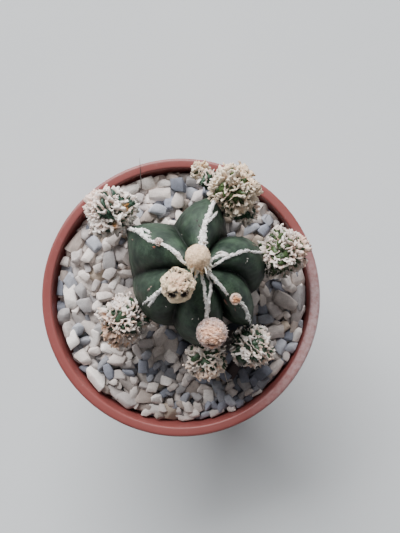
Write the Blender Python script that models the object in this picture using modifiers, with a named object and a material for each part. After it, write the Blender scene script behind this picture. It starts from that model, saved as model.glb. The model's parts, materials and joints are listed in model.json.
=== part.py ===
"""A bishop's cap cactus with woolly buds and offsets, in a terracotta-coloured plastic pot.

The pot stands on z = 0 with its axis on Z. North is +Y and east is +X. Everything is in metres: MM turns
millimetres into them. The stem is a sphere pulled into six ribs by a formula, and the wool, the buds and the
offsets are set on its crests by the same formula.
"""

import math

import bmesh
import bpy
import numpy as np
from mathutils import Matrix, Vector

MM = 0.001
GAP = 0.35 * MM  # air left between pieces that touch
SEED = 26

# Pot
POT_HEIGHT = 65 * MM
RIM_RADIUS = 42.5 * MM
RIM_WIDTH = 3.1 * MM  # the flat top of the rim
RIM_TUCK = 0.35 * MM  # how far the inner wall lies back under the rim's inner edge
LIP_HEIGHT = 2.6 * MM
COLLAR_HEIGHT = 12 * MM
COLLAR_STEP = 1.8 * MM
WALL = 1.25 * MM
BASE_RADIUS = 29.5 * MM
BASE_DRAFT = 0.4 * MM  # what the wall gains in radius between the foot and the floor
FOOT_WIDTH = 3.2 * MM
FOOT_HEIGHT = 2.0 * MM
FLOOR_THICKNESS = 1.5 * MM
FLOOR_BEVEL = 1.2 * MM
DRAIN_RADIUS = 3.3 * MM
DRAIN_CIRCLE = 16 * MM
DRAINS = 4  # on the circle, with one more at the middle
TURNS = 40  # steps round the pot

INNER_EDGE = RIM_RADIUS - RIM_WIDTH
SHOULDER = POT_HEIGHT - COLLAR_HEIGHT - WALL  # where the inner wall steps out behind the collar
FLOOR = FOOT_HEIGHT + FLOOR_THICKNESS

# Filling
GRAVEL_LEVEL = 62 * MM  # at the middle of the pot
GRAVEL_SLOPE = 0.03  # the gravel lies higher to the north
GRAVEL_BED = 3.0 * MM  # how far the fused bed lies below the stones' level
SOIL_TOP = 49.5 * MM
SOIL_BEVEL = 1.6 * MM
STONE_PITCH = 7.2 * MM
STONE_SHIFT = 1.0 * MM  # how far a stone may lie from its place on the grid
STONE_SIZE = (3.4 * MM, 4.6 * MM)  # half the longer side
STONE_WIDTH = (0.7, 0.95)  # share of the longer side
STONE_THICKNESS = (0.55, 0.8)
STONE_CORNER = (0.45, 0.95)  # how far out a corner lies, as a share of the block's half side
STONE_TILT = 0.5  # radians
STONE_RISE = (0.7 * MM, 1.7 * MM)  # height of a stone's middle above the bed

# Stem
STEM_AXIS = Vector((6.0 * MM, 9.1 * MM, 0))
EQUATOR = 70.5 * MM
CROWN_HEIGHT = 22 * MM
BURIED_DEPTH = 24 * MM
TAPROOT = 14 * MM
CREASE_DROP = 5.0 * MM
CROWN_DIMPLE = 1.5 * MM
FLANK_COLUMNS = 5
STEM_ROWS = 15

# Ribs and the creases that follow them anticlockwise: bearing at the crown and at the equator in degrees from
# east, and radius at the equator
RIBS = {
    "east": (27, 14, 18.5 * MM),
    "north": (83, 77, 21.1 * MM),
    "west": (148, 152, 24.2 * MM),
    "southwest": (208, 212.5, 20.8 * MM),
    "south": (282, 275, 22.7 * MM),
    "southeast": (319, 311, 22.0 * MM),
}
CREASES = {
    "east": (67, 49, 11.8 * MM),
    "north": (123, 122, 14.7 * MM),
    "west": (178, 188.5, 20.2 * MM),
    "southwest": (232, 245, 18.6 * MM),
    "south": (309, 294, 15.0 * MM),
    "southeast": (363, 329, 16.3 * MM),
}
# How far each flank bulges beyond a straight line in the plan, as a share of its length, from the east crest on
BULGES = (0.13, 0.03, 0.12, 0.05, 0.0, 0.05, 0.14, 0.14, 0.10, 0.10, 0.08, 0.17)
CROWN_BULGE = 0.12  # what the flanks bulge more towards the crown
STEM_COLUMNS = 2 * FLANK_COLUMNS * len(RIBS)

# Wool on the crests: radius of the strip, and how far down the rib it runs in degrees from the crown
WOOL = {
    "east": (0.75 * MM, 78),
    "north": (1.05 * MM, 66),
    "west": (1.05 * MM, 80),
    "southwest": (0.95 * MM, 74),
    "south": (0.9 * MM, 70),
    "southeast": (0.85 * MM, 80),
}
WOOL_START = 3  # degrees from the crown
WOOL_POINTS = 7
WOOL_WAVE = 0.22  # share by which a strip is thicker and thinner by turns
CROWN_PAD = (3.0 * MM, 91.3 * MM, 0.45)  # the woolly crown: radius, height of its middle, flattening
KNOB = (148, 12.7, 89.3, 1.2)  # of wool on the west rib, given as the buds are

# Buds: bearing, distance from the stem's axis, height of the centre and radius, in degrees and millimetres
BUDS = {
    "bud_crown": (105, 2.8, 94.9, 3.35),
    "bud_southwest": (216.5, 7.0, 94.1, 4.5),
    "bud_south": (279.5, 16.9, 89.0, 4.1),
    "bud_southeast": (318.6, 11.5, 90.3, 1.75),
}
BUD_RELIEF = 0.035  # depth of the low waves on a bud, as a share of its radius
SCALES = 18  # on the dried bud
SCALE_SIZE = (1.5 * MM, 0.7 * MM, 2.6 * MM)  # radius at the root, radius at the tip, length
SCALY_CORE = 0.86  # share of the dried bud's radius

# Offsets: centre, radius and number of wedges. The first of a name is its head, and the others grow from it
OFFSETS = {
    "offset_west": [((-19.6, 24.9, 74.5), 7.4, 21)],
    "offset_north": [
        ((15.0, 30.6, 78.0), 7.2, 20),
        ((18.6, 25.6, 73.2), 4.0, 6),
        ((8.4, 34.0, 74.6), 3.2, 5),
        ((5.8, 37.0, 72.4), 2.9, 7),
    ],
    "offset_east": [((29.2, 13.3, 75.0), 7.0, 20)],
    "offset_southwest": [((-16.1, -6.0, 73.2), 7.4, 21)],
    "offset_south": [((7.6, -17.4, 70.6), 6.0, 17)],
    "offset_southeast": [((20.6, -13.6, 72.2), 6.4, 18)],
}
HEAD_CORE = 0.74  # share of a head's radius
LOBE_CORE = 0.8
NECK_RADIUS = 2.4 * MM
NECK_OVERLAP = 1.5 * MM  # by how much the neck is longer than the way from the head to the crest
WEDGE_BASE = 2.1 * MM  # from a wedge's middle to its lower corners
WEDGE_RIDGE = (1.25 * MM, 0.5 * MM)  # half the length and half the thickness of its upper edge
WEDGE_LENGTH = 0.5  # share of the head's radius
WEDGE_RISE = (0.68, 0.78)  # where a wedge's middle lies, as a share of the head's radius

COLOURS = {
    "pot_plastic": (0.262, 0.068, 0.058),
    "soil": (0.050, 0.022, 0.014),
    "gravel": (0.420, 0.390, 0.365),
    "stem_green": (0.040, 0.075, 0.048),
    "offset_flesh": (0.300, 0.290, 0.215),
    "wool_white": (0.680, 0.650, 0.600),
    "wool_cream": (0.560, 0.430, 0.310),
}
ROUGHNESS = {"pot_plastic": 0.42, "stem_green": 0.55}
DULL = 0.85

for old in list(bpy.data.objects):
    bpy.data.objects.remove(old)

PARTS = bpy.data.collections.new("Potted_bishops_cap")
CUTTERS = bpy.data.collections.new("Cutters")
for made in (PARTS, CUTTERS):
    bpy.context.scene.collection.children.link(made)


def material(name):
    """The Principled material of this name, made once."""
    if name in bpy.data.materials:
        return bpy.data.materials[name]
    made = bpy.data.materials.new(name)
    made.use_nodes = True
    shader = made.node_tree.nodes["Principled BSDF"]
    shader.inputs["Base Color"].default_value = (*COLOURS[name], 1)
    shader.inputs["Roughness"].default_value = ROUGHNESS.get(name, DULL)
    return made


def object_of(mesh, name, collection, finish=None):
    """An object of this mesh, with its own material."""
    made = bpy.data.objects.new(name, mesh)
    collection.objects.link(made)
    if finish:
        mesh.materials.clear()
        mesh.materials.append(material(finish))
    return made


def mesh_of(shape, name):
    """The bmesh as a mesh, and the bmesh freed."""
    mesh = bpy.data.meshes.new(name)
    shape.to_mesh(mesh)
    shape.free()
    return mesh


def repeats_collection(name):
    """A collection for repeats that are fused and removed."""
    made = bpy.data.collections.new(name)
    bpy.context.scene.collection.children.link(made)
    return made


def as_cutter(made):
    """Marks an object that only cuts or joins others."""
    made.hide_render = True
    made.display_type = "WIRE"
    return made


def turned(name, profile, collection, finish=None):
    """A profile of (radius, height) points turned round Z by a Screw. It runs down its outer side."""
    mesh = bpy.data.meshes.new(name)
    points = [(radius, 0, height) for radius, height in profile]
    mesh.from_pydata(points, [(i, i + 1) for i in range(len(points) - 1)], [])
    made = object_of(mesh, name, collection, finish)
    screw = made.modifiers.new("Turn", "SCREW")
    screw.steps = screw.render_steps = TURNS
    screw.use_merge_vertices = True
    screw.merge_threshold = 0.01 * MM
    return made


def boolean(made, operation, operand, solver="EXACT"):
    """A Boolean by an object, or by every object of a collection."""
    change = made.modifiers.new(operation.title(), "BOOLEAN")
    change.operation = operation
    change.solver = solver
    if isinstance(operand, bpy.types.Collection):
        change.operand_type = "COLLECTION"
        change.collection = operand
    else:
        change.object = operand


def apply_modifiers(made):
    """Puts what the modifiers make into the object's own mesh, and drops loose scraps."""
    bpy.context.view_layer.update()
    graph = bpy.context.evaluated_depsgraph_get()
    mesh = bpy.data.meshes.new_from_object(made.evaluated_get(graph))
    made.modifiers.clear()
    shape = bmesh.new()
    shape.from_mesh(mesh)
    bmesh.ops.remove_doubles(shape, verts=shape.verts, dist=0.002 * MM)
    bmesh.ops.dissolve_degenerate(shape, edges=shape.edges, dist=0.002 * MM)
    bmesh.ops.triangulate(shape, faces=shape.faces)
    loose = set(shape.verts)
    islands = []
    while loose:
        reach = [loose.pop()]
        island = set(reach)
        while reach:
            for edge in reach.pop().link_edges:
                for end in edge.verts:
                    if end in loose:
                        loose.discard(end)
                        island.add(end)
                        reach.append(end)
        islands.append(island)
    islands.sort(key=len)
    for scrap in islands[:-1]:
        bmesh.ops.delete(shape, geom=list(scrap), context="VERTS")
    shape.to_mesh(mesh)
    shape.free()
    made.data = mesh


def join_repeats(base, repeats, solver="MANIFOLD"):
    """Fuses a collection of repeats with their base by one Boolean union, then removes them."""
    boolean(base, "UNION", repeats, solver)
    apply_modifiers(base)
    for repeat in list(repeats.objects):
        bpy.data.objects.remove(repeat)
    bpy.data.collections.remove(repeats)


def ball(radius, subdivisions=2):
    """A bmesh icosphere."""
    shape = bmesh.new()
    bmesh.ops.create_icosphere(shape, subdivisions=subdivisions, radius=radius)
    return shape


def cone(low, high, depth, sides):
    """A bmesh cone frustum along Z, with its middle at the origin."""
    shape = bmesh.new()
    bmesh.ops.create_cone(shape, cap_ends=True, segments=sides, radius1=low, radius2=high, depth=depth)
    return shape


def polar(bearing, distance, height):
    """A point at a bearing and distance from the stem's axis."""
    angle = math.radians(bearing)
    return STEM_AXIS + Vector((distance * math.cos(angle), distance * math.sin(angle), height))


# The stem's formula


def stations():
    """Ribs and creases in turn: (is a rib, bearing at the crown, bearing at the equator, radius)."""
    made = []
    for name, rib in RIBS.items():
        made += [(True, *rib), (False, *CREASES[name])]
    return made


def corner(station, ring, reach):
    """A crest's or crease's place in the plan, which turns from its bearing at the crown to that at the equator."""
    bearing = math.radians(station[1] + (station[2] - station[1]) * ring**2)
    return Vector((math.cos(bearing), math.sin(bearing), 0)) * station[3] * reach


def stem_point(column, down, grow=0.0):
    """The stem's surface at a column, counted from the first rib, and at an angle down from the crown.

    In the plan a flank is a straight line from the crest to the crease, bulged outwards by a parabola. Above the
    equator the crease also lies lower than the crest.
    """
    found = stations()
    place, along = divmod(column / FLANK_COLUMNS, 1)
    flank = int(place) % len(found)
    here = found[flank]
    from_crest = along if here[0] else 1 - along
    ring = math.sin(down)
    upper = down <= math.pi / 2
    reach = ring if upper else max(ring, 0) ** 1.3
    start = corner(here, ring, reach)
    line = corner(found[(flank + 1) % len(found)], ring, reach) - start
    bulge = BULGES[flank] + CROWN_BULGE * max(math.cos(down), 0)
    outward = Vector((line.y, -line.x, 0)) * bulge * 4 * along * (1 - along)
    point = start + line * along + outward
    if upper:
        hollow = 0.45 * from_crest + 0.55 * from_crest**4
        drop = CREASE_DROP * max(math.sin(2 * down), 0) ** 0.7 * hollow
        dimple = CROWN_DIMPLE * math.exp(-((ring / 0.15) ** 2))
        height = EQUATOR + CROWN_HEIGHT * math.cos(down) - drop - dimple
    else:
        height = EQUATOR + BURIED_DEPTH * math.cos(down) - TAPROOT * (1 - ring) ** 3
    point += point.normalized() * grow * ring
    point.z = height + grow * math.cos(down)
    return STEM_AXIS + point


def crest_point(rib, degrees_down):
    """The point on a rib's crest at an angle down from the crown."""
    return stem_point(2 * FLANK_COLUMNS * list(RIBS).index(rib), math.radians(degrees_down))


def stem_mesh(name, grow=0.0):
    """A sphere with each vertex moved to the stem's surface, or to one that stands off it."""
    shape = bmesh.new()
    bmesh.ops.create_uvsphere(shape, u_segments=STEM_COLUMNS, v_segments=STEM_ROWS, radius=1)
    for vertex in shape.verts:
        down = math.acos(max(-1.0, min(1.0, vertex.co.z)))
        column = round(math.atan2(vertex.co.y, vertex.co.x) / (2 * math.pi) * STEM_COLUMNS) % STEM_COLUMNS
        vertex.co = stem_point(column, down, grow)
    return mesh_of(shape, name)


# Pot, soil and gravel


def pot_inside(height):
    """The pot's inner radius at a height."""
    if height > SHOULDER + COLLAR_STEP:
        return INNER_EDGE - RIM_TUCK
    high_radius = INNER_EDGE - RIM_TUCK - COLLAR_STEP
    low_radius = BASE_RADIUS - WALL + BASE_DRAFT
    share = min(1.0, (height - FLOOR) / (SHOULDER - FLOOR))
    return low_radius + (high_radius - low_radius) * share


def make_pot():
    """The pot's wall as one turned profile, from the floor's middle up the inside, over the rim and down."""
    collar = pot_inside(POT_HEIGHT) + WALL
    step_top = POT_HEIGHT - COLLAR_HEIGHT
    profile = [
        (0, FLOOR),
        (pot_inside(FLOOR) - FLOOR_BEVEL, FLOOR),
        (pot_inside(FLOOR + FLOOR_BEVEL), FLOOR + FLOOR_BEVEL),
        (pot_inside(SHOULDER), SHOULDER),
        (pot_inside(POT_HEIGHT), SHOULDER + COLLAR_STEP),
        (INNER_EDGE, POT_HEIGHT - 0.8 * MM),
        (INNER_EDGE + 0.45 * MM, POT_HEIGHT - 0.12 * MM),
        (INNER_EDGE + 0.42 * RIM_WIDTH, POT_HEIGHT),
        (RIM_RADIUS - 0.7 * MM, POT_HEIGHT - 0.15 * MM),
        (RIM_RADIUS, POT_HEIGHT - 0.9 * MM),
        (RIM_RADIUS, POT_HEIGHT - LIP_HEIGHT + 0.4 * MM),
        (RIM_RADIUS - 0.4 * MM, POT_HEIGHT - LIP_HEIGHT),
        (collar, POT_HEIGHT - LIP_HEIGHT),
        (collar, step_top),
        (collar - COLLAR_STEP, step_top - COLLAR_STEP),
        (BASE_RADIUS + 0.3 * MM, 1.2 * MM),
        (BASE_RADIUS - 0.6 * MM, 0),
        (BASE_RADIUS - FOOT_WIDTH, 0),
        (BASE_RADIUS - FOOT_WIDTH - 0.7 * MM, FOOT_HEIGHT),
        (0, FOOT_HEIGHT),
    ]
    pot = turned("pot", profile, PARTS, "pot_plastic")
    for i in range(DRAINS + 1):
        angle = math.radians(45 + 360 / DRAINS * i)
        circle = DRAIN_CIRCLE if i < DRAINS else 0
        drain = cone(DRAIN_RADIUS, DRAIN_RADIUS, 2 * FLOOR, 16)
        hole = as_cutter(object_of(mesh_of(drain, "drain"), f"drain_{i}", CUTTERS))
        hole.location = (circle * math.cos(angle), circle * math.sin(angle), FOOT_HEIGHT)
        boolean(pot, "DIFFERENCE", hole)
    pot.data.shade_smooth()
    return pot


def make_soil(hole):
    """The soil as a plug that fills the pot up to the gravel, with a hole for the stem and its taproot."""
    low = FLOOR + GAP
    profile = [
        (0, SOIL_TOP),
        (pot_inside(SOIL_TOP) - GAP, SOIL_TOP),
        (pot_inside(low + SOIL_BEVEL) - GAP, low + SOIL_BEVEL),
        (pot_inside(low) - SOIL_BEVEL, low),
        (0, low),
    ]
    soil = turned("soil", profile, PARTS, "soil")
    boolean(soil, "DIFFERENCE", hole)
    apply_modifiers(soil)
    return soil


def gravel_level(x, y):
    """The height of the gravel's surface at a point of the plan."""
    return GRAVEL_LEVEL + GRAVEL_SLOPE * y


def stone(draw, size):
    """A crushed stone: a block with its corners moved in or out, flattened and turned."""
    shape = bmesh.new()
    bmesh.ops.create_cube(shape, size=2)
    for vertex in shape.verts:
        vertex.co = Vector(np.array(vertex.co) * draw.uniform(*STONE_CORNER, 3))
    sides = (size, size * draw.uniform(*STONE_WIDTH), size * draw.uniform(*STONE_THICKNESS), 1)
    tilt_x = Matrix.Rotation(draw.uniform(-STONE_TILT, STONE_TILT), 4, "X")
    tilt_y = Matrix.Rotation(draw.uniform(-STONE_TILT, STONE_TILT), 4, "Y")
    spin = Matrix.Rotation(draw.uniform(0, 2 * math.pi), 4, "Z")
    shape.transform(spin @ tilt_x @ tilt_y @ Matrix.Diagonal(sides))
    return mesh_of(shape, "stone")


def inside_stem(x, y):
    """Whether a point of the plan lies under the stem where it enters the gravel."""
    ring = [stem_point(column, math.radians(110), -1.0 * MM) for column in range(STEM_COLUMNS)]
    bearings = [math.atan2(p.y - STEM_AXIS.y, p.x - STEM_AXIS.x) for p in ring]
    bearing = math.atan2(y - STEM_AXIS.y, x - STEM_AXIS.x)
    near = min(range(STEM_COLUMNS), key=lambda i: abs(math.remainder(bearings[i] - bearing, 2 * math.pi)))
    reach = math.hypot(ring[near].x - STEM_AXIS.x, ring[near].y - STEM_AXIS.y)
    return math.hypot(x - STEM_AXIS.x, y - STEM_AXIS.y) < reach


def make_gravel(hole):
    """A bed with a stone at each place of a jittered grid, cut clear of the pot's wall and of the stem."""
    draw = np.random.default_rng(SEED)
    inside = pot_inside(POT_HEIGHT)
    bottom = SOIL_TOP + GAP
    shape = cone(inside + MM, inside + MM, MM, TURNS)
    for vertex in shape.verts:
        top = gravel_level(vertex.co.x, vertex.co.y) - GRAVEL_BED
        vertex.co.z = top if vertex.co.z > 0 else bottom - MM
    bed = object_of(mesh_of(shape, "gravel"), "gravel", PARTS, "gravel")
    stones = repeats_collection("stones")
    rows = int(inside / STONE_PITCH) + 1
    for row in range(-rows, rows + 1):
        for place in range(-rows, rows + 1):
            x = (place + 0.5 * (row % 2)) * STONE_PITCH + draw.uniform(-STONE_SHIFT, STONE_SHIFT)
            y = row * STONE_PITCH * math.sin(math.radians(60)) + draw.uniform(-STONE_SHIFT, STONE_SHIFT)
            mesh = stone(draw, draw.uniform(*STONE_SIZE))
            rise = draw.uniform(*STONE_RISE)
            if math.hypot(x, y) > inside - 1.2 * MM or inside_stem(x, y):
                continue
            pebble = object_of(mesh, "stone", stones)
            pebble.location = (x, y, gravel_level(x, y) - GRAVEL_BED + rise)
    join_repeats(bed, stones)
    limits = [
        (0, POT_HEIGHT + GRAVEL_BED),
        (inside - GAP, POT_HEIGHT + GRAVEL_BED),
        (inside - GAP, SHOULDER + COLLAR_STEP + 0.1 * MM),
        (pot_inside(SHOULDER) - GAP, SHOULDER + 0.1 * MM),
        (pot_inside(bottom) - GAP, bottom),
        (0, bottom),
    ]
    space = as_cutter(turned("gravel_space", limits, CUTTERS))
    boolean(bed, "INTERSECT", space)
    boolean(bed, "DIFFERENCE", hole)
    apply_modifiers(bed)
    return bed


# Stem and wool


def make_stem():
    """The ribbed stem and its taproot as one body."""
    stem = object_of(stem_mesh("stem"), "stem", PARTS, "stem_green")
    stem.data.shade_smooth()
    return stem


def wool_strip(rib, grow, name):
    """A tube of wool that follows a crest, thinner and thicker by turns, as a mesh."""
    radius, last = WOOL[rib]
    curve = bpy.data.curves.new(name, "CURVE")
    curve.dimensions = "3D"
    curve.bevel_depth = 1.0
    curve.bevel_resolution = 1
    curve.use_fill_caps = True
    line = curve.splines.new("POLY")
    line.points.add(WOOL_POINTS - 1)
    for i, point in enumerate(line.points):
        share = i / (WOOL_POINTS - 1)
        point.co = (*crest_point(rib, WOOL_START + (last - WOOL_START) * share), 1)
        point.radius = radius * (1.0 + WOOL_WAVE * math.sin(2.4 * i + len(rib))) + grow
    tube = bpy.data.objects.new(name, curve)
    bpy.context.scene.collection.objects.link(tube)
    bpy.context.view_layer.update()
    graph = bpy.context.evaluated_depsgraph_get()
    shape = bmesh.new()
    shape.from_mesh(bpy.data.meshes.new_from_object(tube.evaluated_get(graph)))
    bmesh.ops.remove_doubles(shape, verts=shape.verts, dist=0.001 * MM)
    bpy.data.objects.remove(tube)
    return mesh_of(shape, name)


def crown_pad(grow, name):
    """The flattened ball of wool at the crown, or one that stands off it."""
    radius, height, flattening = CROWN_PAD
    shape = ball(radius + grow)
    flat = flattening + grow / radius
    shape.transform(Matrix.Translation(polar(0, 0, height)) @ Matrix.Diagonal((1, 1, flat, 1)))
    return mesh_of(shape, name)


def make_crest_wool(hole):
    """Six strips, the woolly crown that joins them and the knob on the west rib, cut clear of the stem."""
    crown = object_of(crown_pad(0, "crest_wool"), "crest_wool", PARTS, "wool_white")
    strips = repeats_collection("strips")
    for rib in RIBS:
        object_of(wool_strip(rib, 0, "strip"), "strip", strips)
    bearing, distance, height, radius = KNOB
    knob = object_of(mesh_of(ball(radius * MM), "knob"), "knob", strips)
    knob.location = polar(bearing, distance * MM, height * MM)
    join_repeats(crown, strips)
    boolean(crown, "DIFFERENCE", hole)
    apply_modifiers(crown)
    return crown


def wool_space():
    """The space of the wool and the air round it, which cuts buds and offsets clear of it."""
    space = as_cutter(object_of(crown_pad(GAP, "wool_space"), "wool_space", CUTTERS))
    strips = repeats_collection("strip_spaces")
    for rib in RIBS:
        object_of(wool_strip(rib, GAP, "strip_space"), "strip_space", strips)
    join_repeats(space, strips)
    return space


# Buds and offsets


def spread_directions(count, jitter, seed=SEED):
    """Unit directions spread evenly over a sphere along a spiral, each moved a little at random."""
    draw = np.random.default_rng(seed)
    golden = math.pi * (3 - math.sqrt(5))
    found = []
    for i in range(count):
        z = 1 - 2 * (i + 0.5) / count
        flat = math.sqrt(1 - z * z)
        facing = Vector((flat * math.cos(golden * i), flat * math.sin(golden * i), z))
        facing += Vector(draw.uniform(-jitter, jitter, 3))
        found.append(facing.normalized())
    return found


def placed(position, facing, spin):
    """A matrix that stands a shape's Z along a direction, turned about it by spin."""
    stand = facing.to_track_quat("Z", "Y").to_matrix().to_4x4()
    return Matrix.Translation(position) @ stand @ Matrix.Rotation(spin, 4, "Z")


def make_bud(name, holes):
    """A woolly bud: a ball with a low relief, and on the dried one a coat of scales."""
    bearing, distance, height, radius = BUDS[name]
    radius *= MM
    centre = polar(bearing, distance * MM, height * MM)
    scaly = name == "bud_southwest"
    small = name == "bud_southeast"
    shape = ball(radius * SCALY_CORE if scaly else radius, 2 if scaly or small else 3)
    for vertex in shape.verts:
        across = math.atan2(vertex.co.y, vertex.co.x)
        vertex.co *= 1 + BUD_RELIEF * math.sin(7 * across + 40 * vertex.co.z * MM / radius)
    shape.transform(Matrix.Translation(centre))
    bud = object_of(mesh_of(shape, name), name, PARTS, "wool_cream")
    if scaly:
        root, tip, length = SCALE_SIZE
        scales = repeats_collection("scales")
        for facing in spread_directions(SCALES, 0.15):
            scale = cone(root, tip, length, 5)
            scale.transform(Matrix.Diagonal((1, 0.6, 1, 1)))
            leaf = object_of(mesh_of(scale, "scale"), "scale", scales)
            leaf.matrix_world = placed(centre + facing * (radius - 0.4 * length), facing, 0.4)
        join_repeats(bud, scales)
    for hole in holes:
        boolean(bud, "DIFFERENCE", hole)
    apply_modifiers(bud)
    bud.data.shade_smooth()
    return bud


def wedge_mesh(depth):
    """A small tubercle: a square-based block that narrows to a thin upper edge."""
    shape = cone(WEDGE_BASE, math.sqrt(2) * WEDGE_RIDGE[0], depth, 4)
    shape.transform(Matrix.Rotation(math.pi / 4, 4, "Z"))
    for vertex in shape.verts:
        if vertex.co.z > 0:
            vertex.co.y *= WEDGE_RIDGE[1] / WEDGE_RIDGE[0]
    return mesh_of(shape, "wedge")


def nearest_crest(point):
    """The crest point that an offset grows from."""
    found = [crest_point(rib, down) for rib in RIBS for down in range(40, 101, 5)]
    return min(found, key=lambda crest: (crest - point).length)


def make_offset(name, holes):
    """A head of many small wedges on a core, with its smaller lobes and the neck that it grew on."""
    draw = np.random.default_rng(SEED + len(name))
    lobes = [(Vector(centre) * MM, radius * MM, count) for centre, radius, count in OFFSETS[name]]
    head, head_radius, _ = lobes[0]
    shape = ball(head_radius * HEAD_CORE)
    shape.transform(Matrix.Translation(head))
    core = object_of(mesh_of(shape, name), name, PARTS, "offset_flesh")
    repeats = repeats_collection("repeats")
    reach = nearest_crest(head) - head
    neck = cone(NECK_RADIUS, NECK_RADIUS, reach.length + NECK_OVERLAP, 8)
    neck = object_of(mesh_of(neck, "neck"), "neck", repeats)
    neck.matrix_world = placed(head + reach / 2, reach.normalized(), 0)
    for number, (centre, radius, count) in enumerate(lobes):
        if number:
            lobe = object_of(mesh_of(ball(radius * LOBE_CORE), "lobe"), "lobe", repeats)
            lobe.location = centre
        for facing in spread_directions(count, 0.12, SEED + number):
            leaf = object_of(wedge_mesh(radius * WEDGE_LENGTH), "wedge", repeats)
            rise = radius * draw.uniform(*WEDGE_RISE)
            leaf.matrix_world = placed(centre + facing * rise, facing, draw.uniform(0, math.pi))
    join_repeats(core, repeats)
    for hole in holes:
        boolean(core, "DIFFERENCE", hole, "MANIFOLD")
    apply_modifiers(core)
    return core


stem_space = as_cutter(object_of(stem_mesh("stem_space", GAP), "stem_space", CUTTERS))
strip_space = wool_space()
make_pot()
make_soil(stem_space)
make_gravel(stem_space)
make_stem()
make_crest_wool(stem_space)
for bud_name in BUDS:
    make_bud(bud_name, (stem_space, strip_space))
for offset_name in OFFSETS:
    make_offset(offset_name, (stem_space, strip_space))
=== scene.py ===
# %% [markdown]
# # A potted bishop's cap cactus
#
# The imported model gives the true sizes: a plastic pot, soil, gravel, a six-ribbed stem, wool on its crests,
# four woolly buds and six offsets. This script dresses them. Almost every surface is worked out with numpy
# from a short formula, so that it can be read, changed and made again.

# %% Frame
import json
import math
from collections import namedtuple

import bmesh
import bpy
import numpy as np
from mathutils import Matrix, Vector

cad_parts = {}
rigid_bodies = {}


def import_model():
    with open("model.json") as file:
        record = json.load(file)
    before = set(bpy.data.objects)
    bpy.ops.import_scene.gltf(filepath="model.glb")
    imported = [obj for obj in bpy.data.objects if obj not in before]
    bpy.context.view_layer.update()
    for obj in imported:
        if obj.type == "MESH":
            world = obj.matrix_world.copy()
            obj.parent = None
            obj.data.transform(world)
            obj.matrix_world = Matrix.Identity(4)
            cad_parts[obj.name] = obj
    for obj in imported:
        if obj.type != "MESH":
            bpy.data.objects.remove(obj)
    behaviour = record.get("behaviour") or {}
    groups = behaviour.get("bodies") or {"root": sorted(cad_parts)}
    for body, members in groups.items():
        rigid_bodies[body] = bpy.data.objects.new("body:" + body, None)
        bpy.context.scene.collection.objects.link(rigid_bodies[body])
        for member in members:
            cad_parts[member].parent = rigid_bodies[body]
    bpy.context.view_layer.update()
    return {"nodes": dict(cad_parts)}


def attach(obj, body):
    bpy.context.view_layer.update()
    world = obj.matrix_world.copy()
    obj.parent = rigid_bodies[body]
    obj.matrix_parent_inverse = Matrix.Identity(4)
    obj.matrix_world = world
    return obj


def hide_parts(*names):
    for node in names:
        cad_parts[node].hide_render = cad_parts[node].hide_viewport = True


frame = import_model()
MM = 0.001

# %% [markdown]
# ## Helpers for colour and materials
#
# Colours are written as sRGB hex codes, as a picture editor shows them. A shader wants linear light, so one
# function converts them, and another mixes two of them. One more adds a node, sets it and links it.
# Everything else about a material is said where it is made.


# %% Colour and nodes
def linear(code):
    """sRGB hex to linear RGB: a channel c is c / 12.92 up to 0.04045, else ((c + 0.055) / 1.055) ** 2.4."""
    channels = np.array([int(code[i : i + 2], 16) for i in (1, 3, 5)]) / 255
    return np.where(channels <= 0.04045, channels / 12.92, ((channels + 0.055) / 1.055) ** 2.4)


def rgba(code):
    """The linear colour with full opacity, as a socket takes it."""
    return (*linear(code).tolist(), 1.0)


def between(start, end, share):
    """The linear colour a share of the way from one colour to another: start + (end - start) * share."""
    start, end = (linear(colour) if isinstance(colour, str) else colour for colour in (start, end))
    return start + (end - start) * share


def add(tree, kind, inputs=(), **settings):
    """Adds a node. settings are its properties; inputs are (socket, value or the output that feeds it)."""
    made = tree.nodes.new("ShaderNode" + kind)
    for name, value in settings.items():
        setattr(made, name, value)
    for socket, value in inputs:
        if isinstance(value, bpy.types.NodeSocket):
            tree.links.new(value, made.inputs[socket])
        else:
            made.inputs[socket].default_value = value
    return made


def new_material(name, **constants):
    """A material, its node tree and its Principled shader, with constants set on the shader's own sockets."""
    made = bpy.data.materials.new(name)
    made.use_nodes = True
    shader = made.node_tree.nodes["Principled BSDF"]
    for socket, value in constants.items():
        shader.inputs[socket.replace("_", " ")].default_value = value
    print("material:", name)
    return made, made.node_tree, shader


# %% [markdown]
# ## Helpers for surfaces
#
# A stone, a tuft of wool, the stem and the pot have one thing in common: each is a closed skin that can be
# laid out as rings, one below the other, with a pole at each end. So one function turns an array of rings
# into faces, for a single body or for a thousand of them at once. Its faces look outwards when the rings run
# from the top down and their points run anticlockwise seen from above.


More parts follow.
